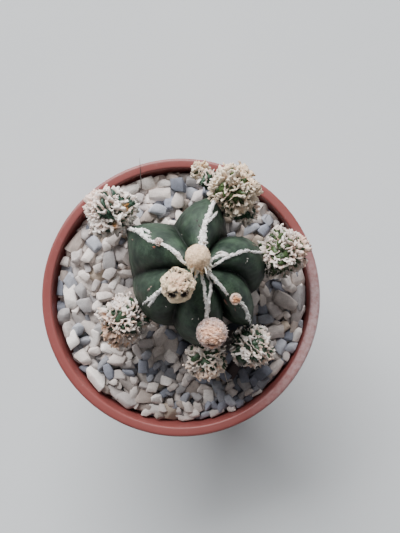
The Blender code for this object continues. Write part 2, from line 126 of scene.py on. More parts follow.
# %% Surfaces from rings
def skin(name, rings, material, tint=None):
    """An object of closed bodies, from an array (bodies, rings, points round, 3).

    Neighbouring rings are joined by quads, and the first and the last ring are closed by a fan of triangles
    to the ring's mean point. tint is one colour, or an array that broadcasts to the rings' shape, and each
    point keeps its own in the attribute "tint".
    """
    if rings.ndim == 3:
        rings = rings[None]
    bodies, rows, around = rings.shape[:3]
    poles = rings[:, [0, -1]].mean(2)
    points = np.concatenate([rings.reshape(bodies, -1, 3), poles], 1)
    size = rows * around + 2
    row, here = (a.ravel() for a in np.meshgrid(np.arange(rows - 1), np.arange(around), indexing="ij"))
    after = (here + 1) % around
    quads = np.stack([row * around + here, (row + 1) * around + here, (row + 1) * around + after,
                      row * around + after], -1)
    spoke = np.arange(around)
    turn = (spoke + 1) % around
    last = (rows - 1) * around
    top = np.stack([np.full(around, size - 2), spoke, turn], -1)
    low = np.stack([np.full(around, size - 1), last + turn, last + spoke], -1)
    starts = (np.arange(bodies) * size)[:, None, None]
    face_sets = [(quads + starts).reshape(-1, 4), (np.concatenate([top, low]) + starts).reshape(-1, 3)]
    colours = None
    if tint is not None:
        tint = np.broadcast_to(tint, rings.shape)
        colours = np.concatenate([tint.reshape(bodies, -1, 3), tint[:, [0, -1]].mean(2)], 1).reshape(-1, 3)
    return piece(name, points.reshape(-1, 3), face_sets, material, colours)


def piece(name, points, face_sets, material, colours=None):
    """An object at the origin from an array of points and arrays of faces, shaded smooth."""
    mesh = bpy.data.meshes.new(name)
    corners = np.concatenate([faces.ravel() for faces in face_sets])
    sizes = np.concatenate([np.full(len(faces), faces.shape[1]) for faces in face_sets])
    mesh.vertices.add(len(points))
    mesh.vertices.foreach_set("co", points.astype(np.float32).ravel())
    mesh.loops.add(len(corners))
    mesh.loops.foreach_set("vertex_index", corners.astype(np.int32))
    mesh.polygons.add(len(sizes))
    mesh.polygons.foreach_set("loop_start", (np.cumsum(sizes) - sizes).astype(np.int32))
    mesh.update(calc_edges=True)
    mesh.shade_smooth()
    if colours is not None:
        layer = mesh.attributes.new("tint", "FLOAT_COLOR", "POINT")
        full = np.concatenate([np.clip(colours, 0, 1), np.ones((len(colours), 1))], 1)
        layer.data.foreach_set("color", full.astype(np.float32).ravel())
    mesh.materials.append(material)
    made = bpy.data.objects.new(name, mesh)
    bpy.context.scene.collection.objects.link(made)
    return made


def dress(made, slot, *nodes):
    """The piece rides on the one body and stands for these nodes of the model; slot is not used."""
    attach(made, "root")
    if nodes:
        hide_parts(*nodes)
    print(f"{made.name}: {len(made.data.polygons)} faces")


def unit(vectors):
    """Vectors scaled to length 1."""
    return vectors / np.maximum(np.linalg.norm(vectors, axis=-1, keepdims=True), 1e-12)


def ripple(points, wavelength, seed, waves=24):
    """Smooth random relief, mostly from -1 to 1, anywhere in space.

    It is the sum of sine waves of about one wavelength, each with its own random direction and phase, divided
    by the square root of half their number.
    """
    draw = np.random.default_rng(seed)
    ways = unit(draw.normal(size=(waves, 3))) * draw.uniform(0.7, 1.4, (waves, 1))
    phases = draw.uniform(0, 2 * np.pi, waves)
    return np.sin(points @ ways.T * (2 * np.pi / wavelength) + phases).sum(-1) / math.sqrt(waves / 2)


def mixed(codes, shares, count, draw):
    """Linear colours drawn from a palette with the given shares, each made a little lighter or darker."""
    palette = np.array([linear(code) for code in codes])
    chosen = palette[draw.choice(len(codes), count, p=np.array(shares) / sum(shares))]
    return chosen * draw.uniform(0.85, 1.15, (count, 1))


# %% [markdown]
# ## Tufts
#
# Wool, scales, hairs and the small green tubercles of the offsets are all short bent bodies with a round or
# flattened section. Rather than model one and copy it, the script works out all of them together: each has
# its own root, direction, length, width and bend, and only a few dozen faces.


# %% Tufts
def tufts(root, along, across, length, width, thick=0.6, bend=(0.0, 0.0), profile="spindle", rings=6, sides=6,
          lumps=0.15, seed=0):
    """Rings of many bent bodies, from the tip down to the root, as skin() takes them.

    At a share t of its length the middle of a body lies at root + length * (t * along + t^2 * (bend across +
    bend up)), and a ring round it has the half width width * profile(t) across and thick times that upwards.
    A spindle is (1 - |2t - 1|^2.5)^0.5, a wedge is a blunt (1 - t^3) with a wide foot, and a hair is
    (1 - t)^0.5.
    """
    draw = np.random.default_rng(seed)
    count = len(root)
    share = (1 + np.cos(np.pi * (np.arange(rings) + 0.35) / (rings - 0.3))) / 2
    curves = {
        "spindle": (1 - np.abs(2 * share - 1) ** 2.5) ** 0.5,
        "wedge": (1 - share**3) * (0.75 + 0.25 * (1 - share)),
        "hair": (1 - 0.96 * share) ** 0.5,
    }
    along, across = unit(along), unit(across - along * (across * along).sum(-1, keepdims=True))
    up = np.cross(along, across)
    bend = np.broadcast_to(np.asarray(bend, float), (count, 2))
    lean = across * bend[:, :1] + up * bend[:, 1:]
    middle = along[:, None] * share[None, :, None] + lean[:, None] * (share**2)[None, :, None]
    middle = root[:, None] + np.asarray(length, float).reshape(-1, 1, 1) * middle
    half = np.asarray(width, float).reshape(-1, 1) * curves[profile][None]
    angle = np.arange(sides) * 2 * np.pi / sides
    rough = 1 + lumps * draw.uniform(-1, 1, (count, rings, sides))
    flat = half[:, :, None] * rough
    thick = np.broadcast_to(np.asarray(thick, float).reshape(-1, 1, 1), (count, 1, 1))
    return (middle[:, :, None] + (flat * np.cos(angle))[..., None] * across[:, None, None]
            + (flat * thick * np.sin(angle))[..., None] * up[:, None, None])


def spread(count, draw, jitter):
    """Directions spread evenly over a ball along a spiral of golden angles, each moved a little at random."""
    turn = np.arange(count) * np.pi * (3 - math.sqrt(5))
    z = 1 - 2 * (np.arange(count) + 0.5) / count
    flat = np.sqrt(1 - z**2)
    evenly = np.stack([flat * np.cos(turn), flat * np.sin(turn), z], -1)
    return unit(evenly + draw.uniform(-jitter, jitter, (count, 3)))


def tangent(normals, draw):
    """A random direction at right angles to each normal."""
    return unit(np.cross(normals, unit(draw.normal(size=normals.shape))))


# %% [markdown]
# ## Camera, floor and light
#
# The photo was taken from straight above, close to the plant, so the woolly heads near the rim lean outwards
# in the picture. The camera stands 15 cm over the rim, above the stem and not above the pot's middle. The
# light is a large soft window to the north, far away, so that the floor is lit evenly. A weak panel overhead
# gives the rim a sheen on the east side, which a sheen painted on the rim strengthens, and the ribs' south
# sides stay dark.

# %% Camera
CAMERA_PLACE = Vector((5.8 * MM, 9.5 * MM, 217 * MM))
LENS, SENSOR = 33.8, 36
camera = bpy.data.objects.new("camera", bpy.data.cameras.new("camera"))
camera.data.lens = LENS
camera.data.sensor_width = SENSOR
camera.data.clip_start = 5 * MM
camera.location = CAMERA_PLACE
bpy.context.scene.collection.objects.link(camera)
bpy.context.scene.camera = camera
print("the camera, in mm:", [round(number / MM, 1) for number in CAMERA_PLACE])

# %% Floor
FLOOR_HALF, FLOOR_DROP = 6.0, 0.2 * MM
floor_paint, tree, shader = new_material("Floor_matt_paint", Roughness=0.75)
where = add(tree, "TexCoord")
cloud = add(tree, "TexNoise", [("Vector", where.outputs["Object"]), ("Scale", 14.0), ("Detail", 4.0)])
tone = add(tree, "Mix", [("Factor", cloud.outputs["Fac"]), ("A", rgba("#C9CDD0")), ("B", rgba("#D3D6D8"))],
           data_type="RGBA")
tree.links.new(tone.outputs["Result"], shader.inputs["Base Color"])
plan = np.array([[-1, -1], [1, -1], [1, 1], [-1, 1]]) * FLOOR_HALF
floor_points = np.column_stack([plan, np.full(len(plan), -FLOOR_DROP)])
floor = piece("floor", floor_points, [np.arange(len(plan))[None]], floor_paint)


# %% Lights
def softbox(name, place, target, size, watts, colour):
    """A rectangular area light that looks at a target."""
    light = bpy.data.lights.new(name, "AREA")
    light.shape = "RECTANGLE"
    light.size, light.size_y = size
    light.energy = watts
    light.color = linear(colour).tolist()
    made = bpy.data.objects.new(name, light)
    made.location = place
    made.rotation_euler = (Vector(target) - Vector(place)).to_track_quat("-Z", "Y").to_euler()
    bpy.context.scene.collection.objects.link(made)
    print("light:", name)


PLANT = (0, 0, 70 * MM)
FILL_LIGHT = 0.12
softbox("window", (-4.4, 13.6, 9.3), PLANT, (20.0, 10.0), 9900.0, "#FFFFFF")
softbox("panel", (0.20, -0.08, 0.95), PLANT, (0.36, 0.16), 1.3, "#F6F2F0")
world = bpy.data.worlds.new("studio")
world.use_nodes = True
sky = world.node_tree.nodes["Background"]
sky.inputs["Color"].default_value = rgba("#DFE5EC")
sky.inputs["Strength"].default_value = FILL_LIGHT
bpy.context.scene.world = world

# %% [markdown]
# ## Pot
#
# It is an injection-moulded polypropylene pot: a thin wall, a deeper collar, a rolled rim and a foot ring. It
# could be boxes and bevels, but a pot is a turned shape, so its outline is a short list of corners with a
# radius each. A corner is rounded by the curve (1 - t)^2 A + 2t(1 - t) P + t^2 C between two points on its
# sides, and the outline is then turned round the axis. Satin plastic shows a broad soft highlight, faint flow
# marks and fine scratches.


# %% Turned outlines
def rounded(corners, steps=6):
    """The outline with each corner (radius, height, rounding) replaced by its curve; 0 stays sharp."""
    places = np.array([corner[:2] for corner in corners], float)
    outline = [places[:1]]
    for before, at, after, corner in zip(places, places[1:], places[2:], corners[1:-1]):
        reach = corner[2]
        first, last = at + unit(before - at) * reach, at + unit(after - at) * reach
        t = np.linspace(0, 1, steps)[:, None] if reach else np.zeros((1, 1))
        outline.append((1 - t) ** 2 * first + 2 * t * (1 - t) * at + t**2 * last)
    return np.concatenate([*outline, places[-1:]])


def subdivided(outline, longest):
    """The outline with extra points, so that none of its steps is longer than this."""
    parts = []
    for start, end in zip(outline, outline[1:]):
        count = max(1, math.ceil(np.linalg.norm(end - start) / longest))
        parts.append(start + (end - start) * (np.arange(count) / count)[:, None])
    return np.concatenate([*parts, outline[-1:]])


def turned(outline, around):
    """Rings of an outline (radius, height) turned round the pot's axis."""
    angle = np.arange(around) * 2 * np.pi / around
    radius = outline[:, 0, None]
    height = np.broadcast_to(outline[:, 1, None], (len(outline), around))
    return np.stack([radius * np.cos(angle), radius * np.sin(angle), height], -1)


# %% Pot's outline
POT_HEIGHT, RIM_RADIUS, RIM_WIDTH, WALL = 65.0, 42.5, 3.1, 1.25
COLLAR_HEIGHT, COLLAR_STEP, BASE_RADIUS, FOOT_WIDTH = 12.0, 1.8, 29.5, 3.2
FOOT_HEIGHT, FLOOR_THICKNESS, LIP_HEIGHT = 2.0, 1.5, 2.6
INNER_EDGE = RIM_RADIUS - RIM_WIDTH
INSIDE = INNER_EDGE - 0.35
SHOULDER = POT_HEIGHT - COLLAR_HEIGHT - WALL
POT_FLOOR = FOOT_HEIGHT + FLOOR_THICKNESS
COLLAR = INSIDE + WALL
NEAR_AXIS = 0.05
# Corners (radius, height, rounding) from the floor's middle up the inside, over the rim and down outside
pot_outline = rounded([
    (NEAR_AXIS, POT_FLOOR, 0),
    (BASE_RADIUS - WALL + 0.4, POT_FLOOR, 1.3),
    (INSIDE - COLLAR_STEP, SHOULDER, 0.6),
    (INSIDE, SHOULDER + COLLAR_STEP, 0.6),
    (INNER_EDGE, POT_HEIGHT - 0.15, 0.75),
    (RIM_RADIUS, POT_HEIGHT - 0.05, 1.15),
    (RIM_RADIUS, POT_HEIGHT - LIP_HEIGHT, 0.45),
    (COLLAR, POT_HEIGHT - LIP_HEIGHT, 0.3),
    (COLLAR, POT_HEIGHT - COLLAR_HEIGHT, 0.5),
    (COLLAR - COLLAR_STEP, POT_HEIGHT - COLLAR_HEIGHT - COLLAR_STEP, 0.6),
    (BASE_RADIUS + 0.3, 1.2, 0.5),
    (BASE_RADIUS - 0.6, 0, 0.25),
    (BASE_RADIUS - FOOT_WIDTH, 0, 0.3),
    (BASE_RADIUS - FOOT_WIDTH - 0.7, FOOT_HEIGHT, 0.3),
    (NEAR_AXIS, FOOT_HEIGHT, 0),
])
print("the pot's outline has", len(pot_outline), "points")

# %% Moulded plastic
plastic, tree, shader = new_material("Moulded_polypropylene", Roughness=0.38, IOR=1.49)
where = add(tree, "TexCoord")
# Flow marks are broad clouds of about 20 mm, and handling leaves paler scuffs of about 1.5 mm.
flow = add(tree, "TexNoise", [("Vector", where.outputs["Object"]), ("Scale", 50.0), ("Detail", 3.0)])
tone = add(tree, "Mix", [("Factor", flow.outputs["Fac"]), ("A", rgba("#7C3F3B")), ("B", rgba("#8C4D4A"))],
           data_type="RGBA")
scuff = add(tree, "TexNoise", [("Vector", where.outputs["Object"]), ("Scale", 650.0), ("Detail", 6.0),
                               ("Roughness", 0.7)])
spots = add(tree, "MapRange", [("Value", scuff.outputs["Fac"]), ("From Min", 0.60), ("From Max", 0.78),
                               ("To Max", 0.35)])
worn = add(tree, "Mix", [("Factor", spots.outputs["Result"]), ("A", tone.outputs["Result"]),
                         ("B", rgba("#B08A84"))], data_type="RGBA")
# A pale patch painted on top of the rim, mostly in the east, is a painted sheen: the product of four ramps
place = add(tree, "SeparateXYZ", [("Vector", where.outputs["Object"])])
painted_sheen = 1.0
for value, low, high, most in ((place.outputs["X"], 0.020, 0.041, 1.0),
                               (place.outputs["Y"], 0.022, 0.002, 1.0),
                               (place.outputs["Z"], 0.0636, 0.0645, 1.0),
                               (scuff.outputs["Fac"], 0.20, 0.60, 0.58)):
    ramp = add(tree, "MapRange", [("Value", value), ("From Min", low), ("From Max", high), ("To Max", most)])
    product = add(tree, "Math", [(0, painted_sheen), (1, ramp.outputs["Result"])], operation="MULTIPLY")
    painted_sheen = product.outputs["Value"]
with_painted_sheen = add(tree, "Mix", [("Factor", painted_sheen), ("A", worn.outputs["Result"]), ("B", rgba("#CDBCBE"))],
             data_type="RGBA")
tree.links.new(with_painted_sheen.outputs["Result"], shader.inputs["Base Color"])
gloss = add(tree, "MapRange", [("Value", scuff.outputs["Fac"]), ("From Min", 0.3), ("From Max", 0.8),
                               ("To Min", 0.32), ("To Max", 0.55)])
tree.links.new(gloss.outputs["Result"], shader.inputs["Roughness"])
grain = add(tree, "TexNoise", [("Vector", where.outputs["Object"]), ("Scale", 2500.0), ("Detail", 2.0)])
relief = add(tree, "Bump", [("Height", grain.outputs["Fac"]), ("Distance", 0.00002), ("Strength", 0.5)])
tree.links.new(relief.outputs["Normal"], shader.inputs["Normal"])

# %% Pot with its drainage holes
pot = skin("pot_body", turned(subdivided(pot_outline, 6.0) * MM, 144), plastic)
DRAIN_RADIUS, DRAIN_CIRCLE = 3.3, 16.0
DRILL_TOP, DRILL_TIP = 6.0, -2.0
drain_places = [(DRAIN_CIRCLE * math.cos(math.radians(a)), DRAIN_CIRCLE * math.sin(math.radians(a)), 0.0)
                for a in (45, 135, 225, 315)] + [(0.0, 0.0, 0.0)]
drill_outline = np.array([[0.02, DRILL_TOP], [DRAIN_RADIUS, DRILL_TOP], [DRAIN_RADIUS, DRILL_TIP],
                          [0.02, DRILL_TIP]]) * MM
shift = np.array(drain_places)[:, None, None] * MM
drill = skin("drill", turned(drill_outline, 32)[None] + shift, plastic)
cut = pot.modifiers.new("Drain holes", "BOOLEAN")
cut.operation = "DIFFERENCE"
cut.object = drill
pot.data = bpy.data.meshes.new_from_object(pot.evaluated_get(bpy.context.evaluated_depsgraph_get()))
pot.modifiers.clear()
bpy.data.objects.remove(drill)
pot.data.shade_smooth()
dress(pot, "pot_plastic", "pot")

# %% [markdown]
# ## Stem
#
# The stem is one swollen body with six ribs. It could be sculpted, but ribs follow a rule: along each flank
# the radius falls from the crest to the crease, slowly at first and then fast, which makes the flank plump
# and the crease narrow. The crests and creases are not evenly spaced, so a short table gives each one its
# bearing and radius.

# %% Stem's formula
STEM_AXIS = np.array([6.0, 9.1, 0.0])
EQUATOR, CROWN_HEIGHT, BURIED_DEPTH, TAPROOT = 70.5, 22.0, 24.0, 14.0
CREASE_DROP, CROWN_DIMPLE = 5.0, 1.5
# Crests (even rows) and creases (odd rows) anticlockwise from the east: bearing at the crown, bearing at the
# equator and radius at the equator, in degrees and millimetres
STATIONS = np.array([
    (27, 14, 18.5), (67, 49, 11.8),
    (83, 77, 21.1), (123, 122, 14.7),
    (148, 152, 24.2), (178, 188.5, 20.2),
    (208, 212.5, 20.8), (232, 245, 18.6),
    (282, 275, 22.7), (309, 294, 15.0),
    (319, 311, 22.0), (363, 329, 16.3),
])
FLANKS = len(STATIONS)
# How far each flank bulges out of a straight line in the plan, as a share of its length, from the east
BULGES = np.array([0.13, 0.03, 0.12, 0.05, 0.0, 0.05, 0.14, 0.14, 0.10, 0.10, 0.08, 0.17])
CROWN_BULGE = 0.12


def corner(station, ring, reach):
    """A crest's or crease's place in the plan; it turns from its bearing at the crown to the equator's."""
    bearing = np.radians(station[..., 0] + (station[..., 1] - station[..., 0]) * ring**2)
    return np.stack([np.cos(bearing), np.sin(bearing)], -1) * (station[..., 2] * reach)[..., None]


def stem_point(column, down):
    """The stem's skin, in millimetres, at a column and an angle down from the crown, in radians.

    column counts crests and creases, so even whole numbers are crests. In the plan a flank is a straight line
    from crest to crease, bulged outwards by 4x(1 - x) times a share of its length, where x is the share of
    the way along it. Its corners lie at radius * sin(down). The height is 22 cos(down), less a drop that
    grows from the crest to the crease by 0.45 c + 0.55 c^4, with c the share of the way from the crest. Below
    the equator the body narrows to a taproot.
    """
    column, down = np.broadcast_arrays(np.asarray(column, float), np.asarray(down, float))
    base = np.floor(column).astype(int)
    share = column - base
    ring = np.sin(down)
    upper = down <= np.pi / 2
    reach = np.where(upper, ring, np.maximum(ring, 0) ** 1.3)
    start = corner(STATIONS[base % FLANKS], ring, reach)
    line = corner(STATIONS[(base + 1) % FLANKS], ring, reach) - start
    bulge = (BULGES[base % FLANKS] + CROWN_BULGE * np.maximum(np.cos(down), 0)) * 4 * share * (1 - share)
    plan = start + line * share[..., None] + np.stack([line[..., 1], -line[..., 0]], -1) * bulge[..., None]
    from_crest = np.where(base % 2 == 0, share, 1 - share)
    hollow = 0.45 * from_crest + 0.55 * from_crest**4
    drop = CREASE_DROP * np.maximum(np.sin(2 * down), 0) ** 0.7 * hollow
    dimple = CROWN_DIMPLE * np.exp(-((ring / 0.15) ** 2))
    above = EQUATOR + CROWN_HEIGHT * np.cos(down) - drop - dimple
    below = EQUATOR + BURIED_DEPTH * np.cos(down) - TAPROOT * (1 - ring) ** 3
    return np.concatenate([plan, np.where(upper, above, below)[..., None]], -1) + STEM_AXIS


def stem_frame(column, down):
    """The skin's point, its unit normal and the unit direction down the rib, by small steps either way."""
    step = 1e-3
    downward = unit(stem_point(column, down + step) - stem_point(column, down - step))
    around = unit(stem_point(column + step, down) - stem_point(column - step, down))
    return stem_point(column, down), unit(np.cross(downward, around)), downward


equator = stem_point(np.arange(0, FLANKS, 0.1), np.pi / 2)
print("the stem's width and depth, in mm:", np.ptp(equator[:, :2], axis=0).round(1))

# %% [markdown]
# The skin is a waxy green epidermis without the white flecks of the common kind. Close up it has a fine
# mottling of lighter and darker cells and faint growth lines that run across the flanks. The narrow creases
# are painted darker than the crests, as painted shade.

# %% Waxy skin
def textured(tree, shader, *layers):
    """Finishes a piece with painted points: its tint is multiplied by noises, which also give it relief.

    A layer is a noise's scale, detail and roughness, the part of it that counts (from, to), the shades at its
    two ends, and the relief's height in metres and strength. Returns the noises.
    """
    where = add(tree, "TexCoord")
    colour = add(tree, "Attribute", attribute_name="tint").outputs["Color"]
    noises, below = [], []
    for scale, detail, roughness, low, high, darkest, lightest, height, strength in layers:
        noise = add(tree, "TexNoise", [("Vector", where.outputs["Object"]), ("Scale", scale),
                                       ("Detail", detail), ("Roughness", roughness)]).outputs["Fac"]
        shade = add(tree, "MapRange", [("Value", noise), ("From Min", low), ("From Max", high),
                                       ("To Min", darkest), ("To Max", lightest)])
        colour = add(tree, "Mix", [("Factor", 1.0), ("A", colour), ("B", shade.outputs["Result"])],
                     data_type="RGBA", blend_type="MULTIPLY").outputs["Result"]
        bump = add(tree, "Bump", [("Height", noise), ("Distance", height), ("Strength", strength), *below])
        below = [("Normal", bump.outputs["Normal"])]
        noises.append(noise)
    tree.links.new(colour, shader.inputs["Base Color"])
    tree.links.new(bump.outputs["Normal"], shader.inputs["Normal"])
    return noises


epidermis, tree, shader = new_material("Waxy_epidermis", Roughness=0.5, IOR=1.36)
# Pores of about 0.5 mm, larger than life so that they show
pores = textured(tree, shader, (2200.0, 3.0, 0.5, 0.35, 0.7, 0.74, 1.36, 0.05 * MM, 0.6))[0]
bloom = add(tree, "MapRange", [("Value", pores), ("To Min", 0.42), ("To Max", 0.68)])
tree.links.new(bloom.outputs["Result"], shader.inputs["Roughness"])

# %% Stem
PER_FLANK, ROWS = 26, 108
columns = np.arange(FLANKS * PER_FLANK) / PER_FLANK
downs = np.radians(np.linspace(1.0, 176.0, ROWS))
skin_points = stem_point(columns[None, :], downs[:, None])
crest = np.abs((columns % 2) - 1)
cells = (ripple(skin_points, 2.2, 3) * 0.5 + ripple(skin_points, 1.2, 4) * 0.3
         + ripple(skin_points, 7.0, 5) * 0.9)
tint = between("#1E2B23", "#3B4D3D", np.clip(0.40 + 0.24 * cells, 0, 1)[..., None])
# Painted shade: the creases are darkened
painted_crease_shade = 0.8 * (1 - crest) ** 5
tint = tint * (1 - painted_crease_shade)[None, :, None]
LINE_SPACING = math.radians(3.4)
growth_lines = 0.035 * np.sin(2 * np.pi * downs / LINE_SPACING)[:, None] * (1 - crest)
relief_mm = growth_lines + 0.05 * ripple(skin_points, 3.0, 8) + 0.02 * ripple(skin_points, 0.8, 9)
normal = stem_frame(columns[None, :], downs[:, None])[1]
stem = skin("stem_body", (skin_points + normal * relief_mm[..., None]) * MM, epidermis, tint[None])
dress(stem, "stem_green", "stem")

# %% [markdown]
# ## Gravel
#
# The top dressing is crushed limestone, partly tumbled, 3 to 5.5 mm across. Scattering stones at random would
# leave them crossing each other or hanging in the air. Here they are dropped one at a time: each looks at a
# few dozen random places and takes the one where it comes to rest lowest, as a real one would roll there.
# Larger stones and smaller ones then fill the pot much as a handful does.

# %% Where the stones lie
GRAVEL_LEVEL, GRAVEL_SLOPE, BED_TOP = 62.7, 0.035, 55.0
STONES, TRIES = 1500, 70
# Radii of the small, the middling and the large stones, and how many of each fall
STONE_RADII, STONE_SHARES = ((0.75, 1.3), (1.3, 2.0), (2.0, 2.6)), (0.38, 0.40, 0.22)
# Real stones are flatter than balls, so they lie closer and lower
CLOSENESS, FLATNESS = 0.86, 0.8
draw = np.random.default_rng(26)


# %% Stones that come to rest
def stem_outline(bearing, height):
    """How far the stem reaches from its axis at a bearing, by looking up its skin at one height."""
    down = np.arccos(np.clip((height - EQUATOR) / BURIED_DEPTH, -1, 1))
    around = stem_point(np.arange(0, FLANKS, 0.05), down) - STEM_AXIS
    bearings = np.unwrap(np.arctan2(around[:, 1], around[:, 0]))
    turn = (bearing - bearings[0]) % (2 * np.pi) + bearings[0]
    return np.interp(turn, bearings, np.hypot(*around[:, :2].T))


def lay_stones():
    """Middles and radii of stones: each rests on the bed or on others, at the lowest place that it found.

    Over a stone that already lies there, a falling one stops at
    z + flatness sqrt((closeness (r + R))^2 - d^2), where d is how far apart they are seen from above.
    """
    middles, radii = np.zeros((0, 3)), np.zeros(0)
    for _ in range(STONES):
        radius = draw.choice([draw.uniform(*radii_range) for radii_range in STONE_RADII], p=STONE_SHARES)
        reach = (INSIDE - radius * 0.85) * np.sqrt(draw.uniform(0, 1, TRIES))
        turn = draw.uniform(0, 2 * np.pi, TRIES)
        x, y = reach * np.cos(turn), reach * np.sin(turn)
        from_axis = np.hypot(x - STEM_AXIS[0], y - STEM_AXIS[1])
        bearing = np.arctan2(y - STEM_AXIS[1], x - STEM_AXIS[0])
        free = from_axis > stem_outline(bearing, GRAVEL_LEVEL) + radius * 0.75
        x, y = x[free], y[free]
        if not len(x):
            continue
        rest = np.full(len(x), BED_TOP + radius * 0.6)
        if len(radii):
            apart = (x[:, None] - middles[:, 0]) ** 2 + (y[:, None] - middles[:, 1]) ** 2
            touch = (CLOSENESS * (radius + radii)) ** 2 - apart
            on_top = middles[:, 2] + FLATNESS * np.sqrt(np.maximum(touch, 0))
            rest = np.maximum(rest, np.where(touch > 0, on_top, 0).max(1))
        best = np.argmin(rest)
        if rest[best] + radius * 0.7 < GRAVEL_LEVEL + GRAVEL_SLOPE * y[best] + 0.9:
            middles = np.append(middles, [[x[best], y[best], rest[best]]], 0)
            radii = np.append(radii, radius)
    return middles, radii


middles, radii = lay_stones()
print(len(radii), "stones")

# %% [markdown]
# A crushed stone is a block with flats knocked off it, so three dozen shapes are made that way: a cube is cut
# by ten random planes, and its edges are bevelled a little. Every stone takes one of them, stretched and
# turned its own way, with its broad side up, and those beside the wall lie along it. The colour is limestone
# in off-white, beige and grey, with more bluish slate to the southeast.


# %% Crushed shapes
KINDS, CUTS = 36, 10


def chip(draw):
    """Points and triangles of one crushed stone of about radius 1."""
    form = bmesh.new()
    bmesh.ops.create_cube(form, size=1.9)
    for normal in unit(draw.normal(size=(CUTS, 3))):
        bmesh.ops.bisect_plane(form, geom=form.verts[:] + form.edges[:] + form.faces[:],
                               plane_co=normal * draw.uniform(0.68, 1.0), plane_no=normal, clear_outer=True)
        bmesh.ops.holes_fill(form, edges=[edge for edge in form.edges if edge.is_boundary])
    bmesh.ops.remove_doubles(form, verts=form.verts[:], dist=0.12)
    bmesh.ops.bevel(form, geom=form.edges[:], offset=draw.uniform(0.07, 0.16), segments=1, affect="EDGES",
                    clamp_overlap=True)
    bmesh.ops.triangulate(form, faces=form.faces[:])
    bmesh.ops.recalc_face_normals(form, faces=form.faces[:])
    mesh = bpy.data.meshes.new("chip")
    form.to_mesh(mesh)
    form.free()
    points, faces = np.empty(len(mesh.vertices) * 3), np.empty(len(mesh.polygons) * 3, int)
    mesh.vertices.foreach_get("co", points)
    mesh.polygons.foreach_get("vertices", faces)
    bpy.data.meshes.remove(mesh)
    return points.reshape(-1, 3), faces.reshape(-1, 3)


# %% How each stone lies
count = len(radii)
stretch = np.stack([draw.uniform(1.0, 1.7, count), draw.uniform(0.72, 1.02, count),
                    draw.uniform(0.50, 0.78, count)], -1) * radii[:, None] * 1.12
tilt = unit(np.column_stack([draw.normal(0, 0.30, (count, 2)), np.ones(count)]))
outward = unit(middles * [1, 1, 0])
from_middle = np.hypot(middles[:, 0], middles[:, 1])
beside_wall = (from_middle > INSIDE - 2.2 * radii)[:, None]
east = np.where(beside_wall, unit(np.cross(tilt, outward)), tangent(tilt, draw))
turn = np.stack([east, np.cross(tilt, east), tilt], -1)
print(int(beside_wall.sum()), "stones lie along the wall")

# %% Colours of the stones
pale = mixed(["#D0C6C0", "#C2B8B2", "#DAD3CE", "#B3ABA8", "#9B9797", "#B7A797", "#A3968E"],
             [28, 24, 14, 14, 9, 3, 8], count, draw)
slate = mixed(["#858894", "#9FA1A9", "#6A6D78", "#8E8F96"], [32, 30, 16, 22], count, draw)
southeast = np.clip((middles[:, 0] - middles[:, 1]) / 60, 0, 1)
is_slate = draw.uniform(0, 1, count) < 0.14 + 0.36 * southeast
stone_colours = np.where(is_slate[:, None], slate, pale)
# Painted light and shade: the stones are lighter in the north, and the deep ones are painted paler there and
# darker in the south
height = np.clip((middles[:, 2] + radii * 0.6 - BED_TOP) / (GRAVEL_LEVEL - BED_TOP), 0, 1)[:, None]
south = np.clip(0.5 - middles[:, 1:2] / 50, 0, 1)
stone_colours = stone_colours * (1.20 - 0.22 * south) * (1 + (0.45 - 1.45 * south) * (1 - height**1.5))
# Crumbs of soil lie among the stones between the two southern offsets, and their near-black colour is also
# painted shade in that gap
soil_and_shade = np.exp(-(((middles[:, 0] - 16.5) / 4.2) ** 2 + ((middles[:, 1] + 21.5) / 2.6) ** 2))[:, None]
soil_and_shade = (soil_and_shade > draw.uniform(0.35, 0.75, (count, 1))) * 0.92
stone_colours = between(stone_colours, "#33201A", soil_and_shade)
print(int(is_slate.sum()), "stones are slate, and", int(soil_and_shade.astype(bool).sum()), "are soiled")

# %% All stones in one mesh
kind = draw.integers(0, KINDS, count)
points, faces, colours, start = [], [], [], 0
for number in range(KINDS):
    corners, sides = chip(draw)
    mine = kind == number
    bodies = np.einsum("sij,spj->spi", turn[mine], corners * stretch[mine][:, None]) + middles[mine][:, None]
    # A stone that reaches through the wall is moved inwards
    beyond = np.maximum(np.hypot(bodies[..., 0], bodies[..., 1]).max(1) - INSIDE + 0.1, 0)
    bodies = bodies - (outward[mine] * beyond[:, None])[:, None]
    points.append(bodies.reshape(-1, 3))
    faces.append((sides + (start + np.arange(mine.sum()) * len(corners))[:, None, None]).reshape(-1, 3))
    colours.append(np.repeat(stone_colours[mine], len(corners), 0))
    start += mine.sum() * len(corners)

# Broken limestone is dull and dusty, with clouds of about 2.5 mm and grains of about 0.3 mm
limestone, tree, shader = new_material("Crushed_limestone", Roughness=0.82, IOR=1.5)
textured(tree, shader, (420.0, 5.0, 0.62, 0.3, 0.7, 0.80, 1.14, 0.3 * MM, 0.5),
         (3200.0, 2.0, 0.5, 0.3, 0.7, 0.88, 1.1, 0.06 * MM, 0.6))
stones = piece("gravel_stones", np.concatenate(points) * MM, [np.concatenate(faces)], limestone,
               np.concatenate(colours))
dress(stones, "gravel", "gravel")

# %% [markdown]
# Under the stones lies a bed of grit and dark crumbs, which closes the gaps between them. It is a disc with a
# lumpy top. The soil below it is hidden, but for the drainage holes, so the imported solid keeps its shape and
# gets a better finish.

